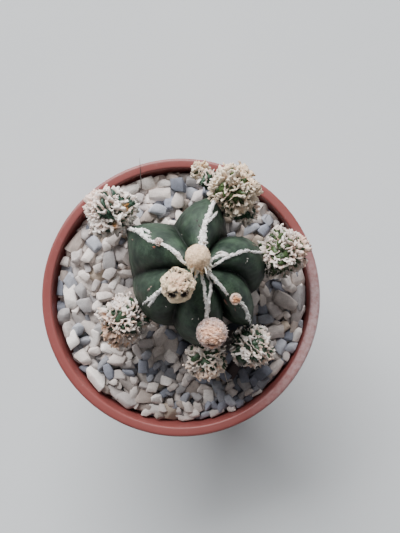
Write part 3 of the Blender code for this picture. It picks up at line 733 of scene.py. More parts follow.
# %% Soil
compost, tree, shader = new_material("Potting_mix", Roughness=0.95)
where = add(tree, "TexCoord")
crumbs = add(tree, "TexVoronoi", [("Vector", where.outputs["Object"]), ("Scale", 900.0)])
dirt = add(tree, "Mix", [("Factor", crumbs.outputs["Distance"]), ("A", rgba("#3A251C")),
                         ("B", rgba("#6A4A3A"))], data_type="RGBA")
tree.links.new(dirt.outputs["Result"], shader.inputs["Base Color"])
relief = add(tree, "Bump", [("Height", crumbs.outputs["Distance"]), ("Distance", 0.0006)])
tree.links.new(relief.outputs["Normal"], shader.inputs["Normal"])
frame["nodes"]["soil"].material_slots[0].material = compost
print("the soil keeps its", len(frame["nodes"]["soil"].data.polygons), "faces")

# %% Grit bed
BED_EDGE, BED_BOTTOM = INSIDE - 0.4, 49.9
bed_outline = subdivided(np.array([[NEAR_AXIS, BED_TOP], [BED_EDGE, BED_TOP], [BED_EDGE, BED_TOP - 1.4],
                                   [BED_EDGE - COLLAR_STEP - 0.2, BED_BOTTOM + 1.7],
                                   [BED_EDGE - COLLAR_STEP - 0.3, BED_BOTTOM], [NEAR_AXIS, BED_BOTTOM]]), 1.0)
bed_rings = turned(bed_outline, 150)
top = (bed_rings[..., 2] > BED_TOP - 0.5)[..., None] * np.array([0, 0, 1])
lumps = 0.55 * ripple(bed_rings, 2.4, 31) + 0.3 * ripple(bed_rings, 1.1, 32)
bed_rings = bed_rings + top * lumps[..., None]
# Between the stones the bed is painted pale in the north, as painted light, and dark in the south, where soil
# shows
south = np.clip(0.5 - bed_rings[..., 1:2] / 50, 0, 1)
bed_soil_and_painted_light = between("#DAD2CC", "#2A1A13", south)
dress(skin("gravel_bed", bed_rings * MM, limestone, bed_soil_and_painted_light[None]), "gravel", "gravel")

# %% [markdown]
# ## Wool on the crests
#
# Each crest carries a row of areoles whose white wool has run together. It lies like a torn ribbon: dense in
# the middle, ragged at the edges, with strands that part and meet again. So each strand is a flattened tube
# that follows a line on the stem. Its half width is noise on each side, and its top is combed lengthwise by
# noise that is stretched along the strand. Loose flakes on top break up what is left of its outline.

# %% Wool's material
# Matted fibres, about 0.2 mm apart, scatter light with no gloss, and their loose ends give a weak sheen
fleece, tree, shader = new_material("Matted_wool", Roughness=0.95, Sheen_Weight=0.25)
textured(tree, shader, (4200.0, 4.0, 0.65, 0.3, 0.7, 0.86, 1.08, 0.14 * MM, 0.6))

# %% Lines on the stem
# Places (x, y, width) in millimetres, read off the photo through the camera, from the crown outwards
STRANDS = [
    [(6.2, 12.6, 2.0), (6.5, 15.0, 2.2), (6.6, 16.9, 2.1), (6.9, 19.2, 1.3), (7.1, 20.5, 1.3),
     (7.6, 21.7, 1.5), (8.0, 22.4, 1.3), (8.4, 23.9, 1.2), (8.9, 25.6, 1.1), (10.0, 27.4, 1.2),
     (11.2, 28.4, 1.0)],
    [(7.3, 20.6, 0.8), (8.2, 21.5, 1.0), (9.2, 22.4, 0.9), (10.2, 23.9, 0.6)],
    [(3.0, 9.6, 1.2), (1.4, 11.0, 1.1), (-0.1, 12.8, 1.1), (-1.7, 14.1, 1.0), (-3.3, 14.9, 0.8),
     (-4.7, 15.6, 0.9)],
    [(-5.0, 15.4, 0.7), (-6.5, 15.9, 0.8), (-8.0, 16.7, 1.0), (-9.4, 18.0, 1.2), (-10.8, 19.0, 1.4),
     (-12.5, 19.4, 1.2), (-14.4, 20.0, 0.9)],
    [(-10.6, 19.4, 0.8), (-9.2, 19.5, 0.7), (-8.2, 18.9, 0.7), (-7.3, 18.3, 0.4)],
    [(-9.0, 17.8, 0.6), (-7.9, 17.5, 0.5), (-7.0, 17.3, 0.3)],
    [(7.6, 10.0, 0.8), (9.0, 11.2, 0.7), (10.4, 12.2, 0.7), (11.6, 12.3, 0.7), (13.0, 12.3, 0.8)],
    [(7.0, 8.4, 1.0), (8.5, 9.4, 1.0), (10.4, 10.4, 0.9), (11.7, 11.3, 0.8), (13.0, 12.0, 0.9),
     (15.2, 12.8, 0.8), (17.3, 13.5, 0.8), (18.7, 13.7, 0.5)],
    [(10.1, 12.8, 0.4), (11.1, 13.1, 0.6), (12.4, 12.8, 0.4)],
    [(19.3, 13.4, 0.5), (20.4, 13.3, 0.7), (21.9, 13.3, 0.7), (23.6, 13.5, 0.8)],
    [(7.0, 8.9, 1.1), (7.9, 8.0, 1.1), (9.2, 6.5, 1.0), (10.8, 4.9, 0.9), (12.7, 2.5, 0.7)],
    [(15.2, 1.2, 0.8), (16.5, 0.0, 1.1), (17.7, -1.6, 1.2), (18.6, -4.0, 1.2), (19.6, -6.0, 1.0)],
    [(6.2, 7.8, 0.8), (6.4, 6.5, 0.8), (6.9, 4.4, 0.8), (7.1, 1.8, 0.8), (7.5, -0.2, 0.9)],
    [(7.5, 7.8, 0.9), (8.3, 6.0, 0.9), (8.5, 4.0, 1.0), (8.1, 1.4, 0.9), (7.8, -0.3, 1.1), (7.4, -3.4, 1.1),
     (7.4, -5.6, 1.1)],
    [(5.4, 8.3, 1.0), (4.8, 6.9, 1.0), (3.7, 5.3, 1.0)],
    [(-2.6, 4.4, 1.1), (-4.5, 3.1, 1.2), (-6.4, 1.6, 1.1), (-8.3, 0.3, 0.8), (-9.7, -0.8, 0.5)],
    [(-5.6, 1.8, 0.8), (-6.9, 0.2, 0.8), (-7.8, -1.0, 0.4)],
]

# %% Places on the stem
lookup = stem_frame(np.arange(0, FLANKS, 0.06)[None], np.radians(np.arange(1.5, 93, 0.5))[:, None])
lookup_at, lookup_normal = (values.reshape(-1, 3) for values in lookup[:2])
print(len(STRANDS), "strands lie on a net of", len(lookup_at), "places of the stem's skin")


def on_stem(plan):
    """The stem's skin and its normal over places (x, y): a mean of the four nearest, weighted by 1/d^2."""
    apart = ((plan[:, None] - lookup_at[None, :, :2]) ** 2).sum(-1)
    nearest = np.argpartition(apart, 4, 1)[:, :4]
    weight = 1 / (np.take_along_axis(apart, nearest, 1) + 1e-3)
    weight = (weight / weight.sum(1, keepdims=True))[..., None]
    height = (lookup_at[nearest, 2:] * weight).sum(1)
    return np.concatenate([plan, height], 1), unit((lookup_normal[nearest] * weight).sum(1))


# %% A strand's line and rings
def strand_line(knots, step=0.13):
    """Points along a strand: place, normal, direction and width, with the corners smoothed away."""
    knots = np.array(knots)
    reach = np.concatenate([[0], np.cumsum(np.hypot(*np.diff(knots[:, :2], axis=0).T))])
    at = np.arange(0, reach[-1], step)
    line = np.stack([np.interp(at, reach, column) for column in knots.T], 1)
    for _ in range(12):
        line[1:-1] = (line[:-2] + 2 * line[1:-1] + line[2:]) / 4
    place, normal = on_stem(line[:, :2])
    for _ in range(6):
        place[1:-1] = (place[:-2] + 2 * place[1:-1] + place[2:]) / 4
    return place, normal, unit(np.gradient(place, axis=0)), line[:, 2], at


def ribbon(knots, seed, sides=18):
    """Rings of a strand: each edge has its own noise, and the top is combed lengthwise.

    An edge lies at 0.42 of the width, and the top at 0.20 mm and 0.22 of the width, both times a noise. They
    fade at the ends by (1 - |2t - 1|^7)^0.5, where t is the share of the length.
    """
    place, normal, way, width, at = strand_line(knots)
    across = np.cross(way, normal)
    side = np.stack([at, np.zeros_like(at), np.full_like(at, seed)], -1)
    edges = []
    for apart in ([0, 0, 0], [0, 9, 0]):
        noise = 0.24 * ripple(side + apart, 1.3, 11) + 0.26 * ripple(side + apart, 0.45, 12)
        edges.append(0.42 * width * (1 + noise))
    angle = np.arange(sides) * 2 * np.pi / sides
    half = np.where(np.cos(angle) > 0, edges[0][:, None], edges[1][:, None])
    comb = np.stack(np.broadcast_arrays(at[:, None] / 2.6, 0.55 * np.cos(angle), seed), -1)
    rise = (0.20 + 0.22 * width)[:, None] * (1 + 0.42 * ripple(comb, 0.33, 13) + 0.34 * ripple(comb, 0.9, 14))
    taper = (1 - np.abs(2 * at / at[-1] - 1) ** 7)[:, None] ** 0.5 + 0.02
    return (place[:, None] + (half * taper * np.cos(angle))[..., None] * across[:, None]
            + (rise * taper * np.sin(angle) - 0.10)[..., None] * normal[:, None])


# %% Strands of wool
draw = np.random.default_rng(41)
for number, knots in enumerate(STRANDS):
    rings = ribbon(knots, number * 3.7)
    worn = np.clip(0.13 + 0.22 * ripple(rings, 1.1, 15) + 0.25 * ripple(rings, 0.35, 16), 0, 1)[..., None]
    made = skin(f"crest_wool_strand_{number}", rings * MM, fleece, between("#F8F6F3", "#BDB1A7", worn)[None])
    dress(made, "wool_white", "crest_wool")

# %% Loose flakes
lines = [[np.repeat(column, 2, 0) for column in strand_line(knots)] for knots in STRANDS]
place, normal, way, width = (np.concatenate([line[i] for line in lines]) for i in range(4))
count = len(place)
across = np.cross(way, normal)
off = np.clip(draw.normal(0, 0.24, count), -0.45, 0.45)
angle = draw.normal(0, 0.24, count) + np.sign(off) * draw.uniform(0, 0.35, count)
lean = (way * np.cos(angle)[:, None] + across * np.sin(angle)[:, None]
        + normal * draw.normal(0.02, 0.10, (count, 1)))
lift = (0.12 + 0.20 * width) * draw.uniform(0.5, 1.25, count) * (1 - np.abs(off))
root = place + across * (off * width)[:, None] + normal * lift[:, None]
length = draw.uniform(0.6, 1.4, count)
bend = np.column_stack([draw.normal(0, 0.12, count), draw.normal(-0.04, 0.06, count)])
hairs = tufts(root - unit(lean) * length[:, None] * 0.4, lean, np.cross(normal, lean), length,
              draw.uniform(0.05, 0.12, count), 0.6, bend, "spindle", 5, 4, 0.2, 42)
shades = mixed(["#FBFAF8", "#ECE8E3", "#D8CFC6", "#A4968A"], [54, 28, 12, 6], count, draw)
dress(skin("crest_wool_flakes", hairs * MM, fleece, shades[:, None, None]), "wool_white", "crest_wool")

# %% [markdown]
# ## Buds
#
# Four woolly balls sit on the crests: a smooth felted one at the crown, the remains of a flower with dry
# scales and an open mouth, a granular one on the south crest and a small one on the southeast crest. Each is a
# ball whose radius is changed by a relief, with a tint worked out from the same relief, so that hollows are
# painted darker, as painted shade. Short flakes stand on all of them.


# %% Ball with relief
def ball_rings(centre, radius, relief, rows=72, around=110):
    """A ball's rings, the ways of its grid and the relief there: a point lies at radius + relief(way)."""
    polar = (np.arange(rows) + 0.5) * np.pi / rows
    angle = np.arange(around) * 2 * np.pi / around
    way = np.stack([np.sin(polar)[:, None] * np.cos(angle), np.sin(polar)[:, None] * np.sin(angle),
                    np.repeat(np.cos(polar)[:, None], around, 1)], -1)
    height = relief(way)
    return np.asarray(centre) + way * (radius + height)[..., None], way, height


def from_axis(bearing, distance, height):
    """A place given by its bearing and distance from the stem's axis."""
    angle = math.radians(bearing)
    return STEM_AXIS + np.array([distance * math.cos(angle), distance * math.sin(angle), height])


def near(way, towards, width):
    """1 where a direction points a given way, falling to 0 over an angle of about width radians."""
    off = np.arccos(np.clip(way @ unit(np.array(towards, float)), -1, 1))
    return np.exp(-((off / width) ** 2))


def shag(name, node, centre, radius, count, length, width, paint, draw, keep=None, stand=0.35):
    """Short flakes on a ball where keep(way) says; stand is how upright they are, paint(way) their tint."""
    way = spread(count, draw, 0.25)
    if keep is not None:
        way = way[draw.uniform(0, 1, count) < keep(way)]
    side = tangent(way, draw)
    lean = unit(side * (1 - stand) + way * stand)
    count = len(way)
    bend = np.column_stack([draw.normal(0, 0.2, count), draw.normal(0, 0.15, count)])
    rings = tufts(np.asarray(centre) + way * radius, lean, np.cross(way, lean), draw.uniform(*length, count),
                  draw.uniform(*width, count), 0.6, bend, "spindle", 5, 5, 0.25, count)
    made = skin(name, rings * MM, felt, paint(way)[:, None, None])
    dress(made, "wool_cream", node)


# %% Felt
# Short dense wool, felted by rain: matt, with a soft sheen and a pile of about 0.25 mm
felt, tree, shader = new_material("Felted_bud", Roughness=0.95, Sheen_Weight=0.3)
textured(tree, shader, (3800.0, 5.0, 0.7, 0.32, 0.68, 0.80, 1.12, 0.16 * MM, 0.8))
draw = np.random.default_rng(51)


# %% Bud at the crown
CROWN_BUD, CROWN_RADIUS = from_axis(105, 2.8, 94.9), 3.08
NECK = (0.2, -0.72, -0.62)


def crown_relief(way):
    """Nearly smooth, with a low swelling towards the crown."""
    return (0.05 * ripple(way * 3.1, 2.4, 51) + 0.03 * ripple(way * 3.1, 0.5, 52)
            + near(way, NECK, 0.6) * (0.5 + 0.3 * ripple(way * 3.1, 1.1, 53)))


rings, way, _ = ball_rings(CROWN_BUD, CROWN_RADIUS, crown_relief)
# The felt is darker and browner towards the neck, on the ball's lower south side
darker_to_neck = np.clip(0.12 + near(way, NECK, 0.72) * (0.8 + 0.5 * ripple(way * 3.1, 0.9, 54))
                  + 0.14 * ripple(way * 3.1, 0.7, 55), 0, 1)[..., None]
tint = between("#F3D3B0", "#8E6E42", darker_to_neck)
dress(skin("bud_crown_felt", rings * MM, felt, tint[None]), "wool_cream", "bud_crown")
shag("bud_crown_shag", "bud_crown", CROWN_BUD, CROWN_RADIUS + 0.02, 420, (0.3, 0.7), (0.04, 0.08),
     lambda way: mixed(["#F3DABA", "#E2C49C"], [60, 40], len(way), draw), draw, None, 0.06)

# %% Ragged skirt of old wool between the ball and the crown
way = spread(900, draw, 0.2)
way = way[draw.uniform(0, 1, len(way)) < 1.2 * near(way, (0.12, -0.62, -0.70), 0.70)]
count = len(way)
lean = unit(way * 0.35 + np.array([0.22, -0.75, -0.35]) + draw.normal(0, 0.38, (count, 3)))
bend = draw.normal(0, 0.25, (count, 2))
rings = tufts(CROWN_BUD + way * (CROWN_RADIUS - 0.15), lean, tangent(lean, draw),
              draw.uniform(0.9, 2.4, count), draw.uniform(0.18, 0.36, count), 0.7, bend,
              "spindle", 6, 6, 0.2, 56)
shades = mixed(["#E2D6BF", "#CDB48A", "#9A7B52", "#ECE6DA"], [42, 26, 10, 22], count, draw)
dress(skin("bud_crown_skirt", rings * MM, felt, shades[:, None, None]), "wool_cream", "bud_crown")

# %% Dried flower
DRIED_BUD, DRIED_RADIUS = from_axis(216.5, 7.0, 94.1), 3.95
# Openings, small pits and swellings: way from the middle, width in radians, depth or height in millimetres
MOUTHS = [
    ((-0.56, -0.58, 0.59), 0.14, 1.5), ((-0.42, -0.65, 0.63), 0.17, 1.9), ((-0.25, -0.66, 0.71), 0.12, 1.3),
    ((0.41, -0.62, 0.66), 0.14, 1.4), ((0.54, -0.55, 0.64), 0.14, 1.5),
]
PITS = [
    ((-0.35, 0.79, 0.50), 0.09, 0.40), ((-0.66, 0.45, 0.60), 0.08, 0.35), ((0.51, 0.30, 0.81), 0.08, 0.35),
    ((0.22, 0.82, 0.50), 0.10, 0.45), ((0.03, 0.80, 0.60), 0.06, 0.30), ((-0.05, -0.38, 0.92), 0.09, 0.25),
    ((0.64, -0.28, 0.72), 0.10, 0.35), ((-0.66, -0.26, 0.70), 0.10, 0.30), ((0.74, 0.34, 0.58), 0.10, 0.45),
    ((-0.20, -0.42, 0.88), 0.05, 0.20), ((0.30, -0.35, 0.89), 0.06, 0.20), ((-0.12, 0.86, 0.50), 0.06, 0.30),
]
SWELLS = [
    ((-0.13, 0.98, 0.25), 0.28, 0.60), ((-0.95, 0.27, 0.20), 0.36, 0.45), ((0.97, 0.05, 0.25), 0.30, 0.60),
    ((0.74, 0.62, 0.20), 0.20, 0.50), ((-0.62, 0.74, 0.20), 0.24, 0.30), ((-0.68, -0.70, 0.22), 0.22, 0.40),
    ((-0.36, -0.90, 0.24), 0.24, 0.62), ((0.0, -0.96, 0.26), 0.24, 0.55), ((0.36, -0.90, 0.26), 0.24, 0.60),
    ((0.70, -0.68, 0.24), 0.22, 0.50), ((-0.34, -0.36, 0.87), 0.17, 0.30), ((0.04, -0.40, 0.92), 0.15, 0.30),
    ((0.46, -0.30, 0.84), 0.17, 0.35),
]


def dried_relief(way):
    """Swellings round the edge and the lips, low lumps and folds on the face, and the mouths' holes."""
    lumps = (0.13 * ripple(way * 4, 2.2, 61) + 0.09 * ripple(way * 4, 0.95, 62)
             + 0.04 * ripple(way * 4, 0.5, 66))
    folds = -0.16 * np.exp(-((ripple(way * 4, 3.4, 63) / 0.18) ** 2))
    face = 1 - 0.75 * near(way, (0.0, -0.95, 0.3), 0.5)
    swells = sum(height * near(way, towards, width) for towards, width, height in SWELLS)
    holes = sum(depth * near(way, towards, width) for towards, width, depth in MOUTHS + PITS)
    return (lumps + folds) * face + swells - holes


rings, way, height = ball_rings(DRIED_BUD, DRIED_RADIUS, dried_relief, 88, 136)
rosy = np.clip(0.85 * near(way, (0.0, 0.25, 0.95), 0.62) + 0.2 * ripple(way * 4, 1.5, 64), 0, 1)[..., None]
# Painted shade: the mouths, the pits, the folds and the low places are darkened towards near black
holes = sum(2.1 * near(way, towards, width * 1.15) for towards, width, _ in MOUTHS + PITS)
folds = 0.28 * np.exp(-((ripple(way * 4, 3.4, 63) / 0.14) ** 2))
painted_pit_shade = np.clip(holes + folds - 0.9 * np.minimum(height, 0), 0, 1)[..., None]
tint = between(between("#E9D3B0", "#E9BE9E", rosy), "#21140C", painted_pit_shade)
dress(skin("bud_southwest_husk", rings * MM, felt, tint[None]), "wool_cream", "bud_southwest")

# %% Dried scales, which stand along the upper edge as pale teeth
plan = np.array([(-0.22, 0.90), (-0.04, 0.92), (0.12, 0.88), (0.32, 0.80), (0.55, 0.66), (0.72, 0.50),
                 (0.86, 0.26), (-0.44, 0.84), (-0.86, 0.40), (0.90, -0.10)])
count = len(plan)
way = np.column_stack([plan, np.sqrt(1 - (plan**2).sum(1).clip(0, 0.98))])
root = DRIED_BUD + unit(way) * (DRIED_RADIUS + dried_relief(unit(way))[:, None] - 0.35)
rings = tufts(root, way + [0, 0, 0.5], np.cross(way, [0, 0, 1]), draw.uniform(0.8, 1.2, count),
              draw.uniform(0.22, 0.36, count), 0.5, (0.0, -0.2), "wedge", 8, 10, 0.12, 65)
dress(skin("bud_southwest_teeth", rings * MM, felt, linear("#EBDCC0")), "wool_cream", "bud_southwest")
shag("bud_southwest_shag", "bud_southwest", DRIED_BUD, DRIED_RADIUS + 0.12, 700, (0.25, 0.55), (0.05, 0.11),
     lambda way: mixed(["#E8D2B4", "#E0BC9E", "#F1E4CE"], [45, 35, 20], len(way), draw), draw,
     lambda way: 1 - 1.2 * near(way, (0, -0.85, 0.5), 0.75), 0.15)

# %% Granular bud, small bud and knob
# Node, middle, radius, size of the grains, tints of the middle and of the rim, flakes, rings
GRANULAR = [
    ("bud_south", from_axis(279.5, 16.9, 89.0), 3.80, 0.62, "#E6B698", "#BDA9A6", 760, 80),
    ("bud_southeast", from_axis(318.6, 11.75, 90.3), 1.36, 0.40, "#C98E66", "#E0CBBE", 160, 44),
    ("crest_wool", from_axis(148, 12.7, 89.3), 0.98, 0.32, "#D2BCB2", "#D6C8C0", 90, 40),
]
for node, middle, radius, grain, top, edge, count, rows in GRANULAR:
    rings, way, height = ball_rings(middle, radius, lambda way: (
        0.07 * ripple(way * radius, grain * 3.0, 71) + 0.09 * ripple(way * radius, grain * 1.5, 72)
        + 0.05 * ripple(way * radius, grain * 0.8, 74)), rows, rows * 3 // 2)

    def paint(way):
        """The middle's colour on top, the rim's round the edge."""
        rim = np.clip(1.30 - 1.35 * way[..., 2:] - 0.16 * ripple(way * radius, 2.0, 73)[..., None], 0, 1)
        return between(top, edge, rim)

    flecks = np.clip(2.5 * ripple(way * radius, grain * 1.9, 75) - 3.1, 0, 0.75)[..., None]
    # Painted shade on the low grains and painted light on the high ones
    tint = paint(way) * np.clip(1.02 + 1.1 * height[..., None], 0.55, 1.12)
    tint = between(tint, "#5A3A2C", flecks)
    if node == "bud_south":
        # The mouths are sunk in and painted dark inside: painted shade
        mouth = sum(near(way, (x, -0.77, 0.62), 0.13) for x in (-0.26, -0.08, 0.10, 0.28))
        lip = sum(near(way, (x, -0.88, 0.42), 0.10) for x in (-0.10, 0.06, 0.20))
        mouth, lip = (share.clip(0, 1)[..., None] for share in (mouth, lip))
        rings = rings - way * (0.6 * mouth - 0.15 * lip)
        tint = between(between(tint, "#4E211A", mouth), "#C08462", 0.8 * lip)
    dress(skin(node + "_grains", rings * MM, felt, tint[None]), "wool_cream", node)
    size = (radius / GRANULAR[0][2]) ** 0.6
    shag(node + "_shag", node, middle, radius + 0.05, count, (0.25 * size, 0.60 * size),
         (0.08 * size, 0.16 * size),
         lambda way: paint(way) * mixed(["#FFFFFF", "#F2E6DE", "#8E7468"], [60, 32, 8], len(way), draw), draw,
         lambda way: 1 - 1.5 * near(way, (0.05, -0.77, 0.60), 0.35), 0.35)

# %% Short spikes on the south bud's east side
spikes = np.array([(0.92, 0.35, 0.1), (0.97, 0.18, 0.15), (0.99, 0.02, 0.1), (0.85, 0.5, 0.1),
                   (0.95, -0.2, 0.1)])
rings = tufts(GRANULAR[0][1] + unit(spikes) * 3.5, spikes + [0, 0.1, 0.2], np.cross(spikes, [0, 0, 1]),
              draw.uniform(0.8, 1.3, 5), np.full(5, 0.14), 0.7, (0.1, 0.0), "hair", 6, 6, 0.1, 76)
dress(skin("bud_south_spikes", rings * MM, felt, linear("#CDBDB2")), "wool_cream", "bud_south")

# %% [markdown]
# ## Offsets
#
# At the end of each rib a monstrous offset has grown: a head without proper ribs, whose wool runs in thick
# winding ridges round cells of green flesh. Thousands of separate parts would be one way. Here two skins
# cross each other: a green one that swells in the cells, and a woolly one that rises along the ridges and
# dips under the green elsewhere. Both come from one noise n: its zero lines wind over the head and close
# round cells, and where n lies between -width and width the wool rises by 0.75 (1 - (n / width)^2)^0.5 mm.
# Tubercles and tufts then make both rough.

# %% Flesh's material
# Young cells full of water: fresh green, with a satin skin and pores of about 0.7 mm
pulp, tree, shader = new_material("Tubercle_flesh", Roughness=0.42, IOR=1.42)
textured(tree, shader, (1500.0, 3.0, 0.5, 0.3, 0.7, 0.75, 1.25, 0.08 * MM, 0.5))

# %% Lobes of the heads
Lobe = namedtuple("Lobe", "node middle radius cell along stretch width old deep lit young_wool old_wool seed")
YOUNG, OLD = "#F3ECE5", "#DDBFAE"
# Each lobe: node, middle, radius, cell size, way that the ridges run and how much they are stretched along it,
# width of the ridges, way that the wool is oldest, the greens of painted shade and of painted light, colours
# of young and old wool
LOBES = [Lobe(*row, 200 + 10 * number) for number, row in enumerate([
    ("offset_west", (-19.6, 24.9, 74.5), 7.1, 3.1, (1, -1, 0), 0.50, 0.72, (-1, 0.7, 0.3),
     "#18271D", "#30493A", YOUNG, "#EBCDBE"),
    ("offset_north", (15.0, 30.6, 78.0), 7.0, 2.3, (0.3, 1, 0), 0.62, 0.76, (0.7, 0.8, 0.2),
     "#1E2E16", "#485E32", "#EADBC6", "#DFC3A4"),
    ("offset_north", (18.6, 25.6, 73.2), 4.2, 4.4, (1, 0.4, 0), 0.6, 0.30, (0.8, 0.2, 0.5),
     "#16261C", "#2B4532", YOUNG, OLD),
    ("offset_north", (8.4, 34.0, 74.6), 3.2, 4.0, (0, 1, 0), 0.7, 0.25, (0, 1, 0.5),
     "#16261C", "#2B4532", YOUNG, OLD),
    ("offset_north", (5.8, 37.0, 72.4), 2.8, 2.2, (1, 0, 0), 0.8, 0.95, (0, 1, 0.5),
     "#22301C", "#465A2C", "#EADBC6", "#D9BC9A"),
    ("offset_east", (29.2, 13.3, 75.0), 7.0, 2.7, (1, -0.2, 0), 0.75, 0.42, (1, 0.1, 0.2),
     "#14220F", "#3C502C", "#EDE3DB", "#DDB7A4"),
    ("offset_southwest", (-16.1, -6.0, 73.2), 7.2, 2.7, (0, 0, 1), 0.6, 0.62, (-0.65, -0.75, 0.3),
     "#121E17", "#2B422E", "#E2D9D3", "#D3A88A"),
    ("offset_south", (7.6, -17.4, 70.6), 6.0, 2.7, (1, -1, 0), 0.65, 0.68, (0.1, -1, 0.1),
     "#17241B", "#30482F", "#EDE3D9", "#DBB9A0"),
    ("offset_southeast", (20.6, -13.6, 72.2), 6.4, 3.0, (-1, 1, 0), 0.5, 0.40, (0.5, -0.8, 0.3),
     "#0F1912", "#2C442F", YOUNG, "#DCBCA9"),
])]
# Brown stains on a head, and on the southeast head a near-black patch of painted shade in its cavity: way from
# its middle, width in radians, colour
STAINS_AND_SHADES = {
    "offset_west": [((0.73, 0.10, 0.68), 0.15, "#A8743C"), ((0.31, -0.62, 0.72), 0.12, "#9A6A3E")],
    "offset_southwest": [((-0.57, -0.51, 0.64), 0.15, "#2E1C12"), ((-0.35, -0.75, 0.55), 0.12, "#5A3826")],
    "offset_southeast": [((-0.55, -0.70, 0.40), 0.25, "#2A1A14")],
}
print(len(LOBES), "lobes in", len({lobe.node for lobe in LOBES}), "heads")


# %% Reliefs of a lobe, as functions of the way from its middle
def form(lobe, way):
    """The lobe's own form under wool and cells: a lumpy ball."""
    return lobe.radius * 0.08 * ripple(way * lobe.radius, lobe.radius, lobe.seed + 3) - 0.9


def ridge(lobe, way):
    """Distance from a ridge in widths: |n| / width, where old wool has wider ridges.

    n has broad waves, stretched along the ridges, and rougher ones, which make its zero lines ragged.
    """
    points = way * lobe.radius
    along = unit(np.array(lobe.along, float))
    squeezed = points - (points @ along)[..., None] * along * (1 - lobe.stretch)
    noise = ripple(squeezed, lobe.cell, lobe.seed, 16) + 0.14 * ripple(points, 1.1, lobe.seed + 1)
    room = lobe.width * (0.80 + 0.85 * near(way, lobe.old, 0.9) + 0.15 * ripple(points, 5.0, lobe.seed + 4))
    return np.abs(noise) / np.maximum(room, 0.12)


def flesh(lobe, way):
    """Green swells in the middle of a cell, from 0.9 widths off the ridge, by up to 1.15 mm."""
    return form(lobe, way) - 1.25 + 1.15 * np.clip(ridge(lobe, way) - 0.9, 0, 1.0) ** 0.6


def wool(lobe, way):
    """A round ridge with matted knots, whose sides fall steeply under the green."""
    off = ridge(lobe, way)
    knots = (0.34 * ripple(way * lobe.radius, 1.5, lobe.seed + 5)
             + 0.16 * ripple(way * lobe.radius, 0.75, lobe.seed + 6))
    rise = np.where(off < 1, 0.75 * np.sqrt(np.maximum(1 - off**2, 0)), -2.2 * (off - 1))
    return form(lobe, way) + rise - 0.05 + knots * np.clip(1.6 - off, 0, 1)


def stained_and_shaded(lobe, tint, way):
    """The tint with the head's stains and patches of painted shade, and darker towards its underside as
    painted shade.
    """
    for towards, size, code in STAINS_AND_SHADES.get(lobe.node, []):
        tint = between(tint, code, near(way, towards, size)[..., None] * 0.9)
    # Painted shade: darker towards the underside
    return tint * np.clip(0.5 + 1.1 * (way[..., 2:] + 0.45), 0.5, 1)


# %% Green parts of a lobe
def grow_flesh(number, lobe, rows):
    """The green skin: a dark green near the ridges as painted shade, and a lighter green in the middle of a
    cell as painted light.
    """
    rings, way, _ = ball_rings(lobe.middle, lobe.radius, lambda way: flesh(lobe, way), rows // 2,
                               int(rows * 0.7))
    swell = np.clip(ridge(lobe, way) - 1.1, 0, 1.2)
    painted_light = np.clip(1.3 * swell - 0.1 + 0.25 * ripple(rings, 2.6, lobe.seed + 7), 0, 1)[..., None]
    tint = stained_and_shaded(lobe, between(lobe.deep, lobe.lit, painted_light), way)
    made = skin(f"{lobe.node}_flesh_{number}", rings * MM, pulp, tint[None])
    dress(made, "offset_flesh", lobe.node)


def grow_tubercles(number, lobe, draw):
    """Pointed tubercles in the cells."""
    way = spread(int(6 * lobe.radius**2), draw, 0.3)
    way = way[(ridge(lobe, way) > 0.8) & (way[:, 2] > -0.45)]
    count = len(way)
    lean = unit(tangent(way, draw) + way * draw.uniform(0.6, 1.8, (count, 1)))
    root = np.array(lobe.middle) + way * (lobe.radius + flesh(lobe, way) - 0.15)[:, None]
    rings = tufts(root, lean, np.cross(way, lean), draw.uniform(0.8, 1.6, count),
                  draw.uniform(0.3, 0.62, count), 0.55, draw.normal(0, 0.2, (count, 2)),
                  "wedge", 5, 6, 0.18, lobe.seed)
    # Each tubercle takes a random share between the green of painted shade and the green of painted light
    tint = stained_and_shaded(lobe, between(lobe.deep, lobe.lit, draw.uniform(0.1, 1.15, (count, 1))), way)
    made = skin(f"{lobe.node}_tubercles_{number}", rings * MM, pulp, tint[:, None, None])
    dress(made, "offset_flesh", lobe.node)


# %% Woolly parts of a lobe
def grow_wool(number, lobe, rows):
    """The woolly skin: old wool on one side, and a brownish painted shade in its hollows."""
    rings, way, height = ball_rings(lobe.middle, lobe.radius,
                                    lambda way: np.maximum(wool(lobe, way), form(lobe, way) - 1.6),
                                    rows, int(rows * 1.4))
    aged = np.clip(near(way, lobe.old, 1.0) + 0.35 * ripple(rings, 3.0, lobe.seed + 8)
                   + 0.25 * ripple(rings, 0.8, lobe.seed + 9), 0, 1)[..., None]
    # Painted shade: the wool turns brownish and darker in its low places
    painted_hollow_shade = np.clip(0.32 - 0.9 * (height - form(lobe, way) - 0.25), 0, 1)[..., None] * 0.85
    tint = between(between(lobe.young_wool, lobe.old_wool, aged), "#8E7463", painted_hollow_shade)
    made = skin(f"{lobe.node}_wool_{number}", rings * MM, fleece, stained_and_shaded(lobe, tint, way)[None])
    dress(made, "wool_white", lobe.node)


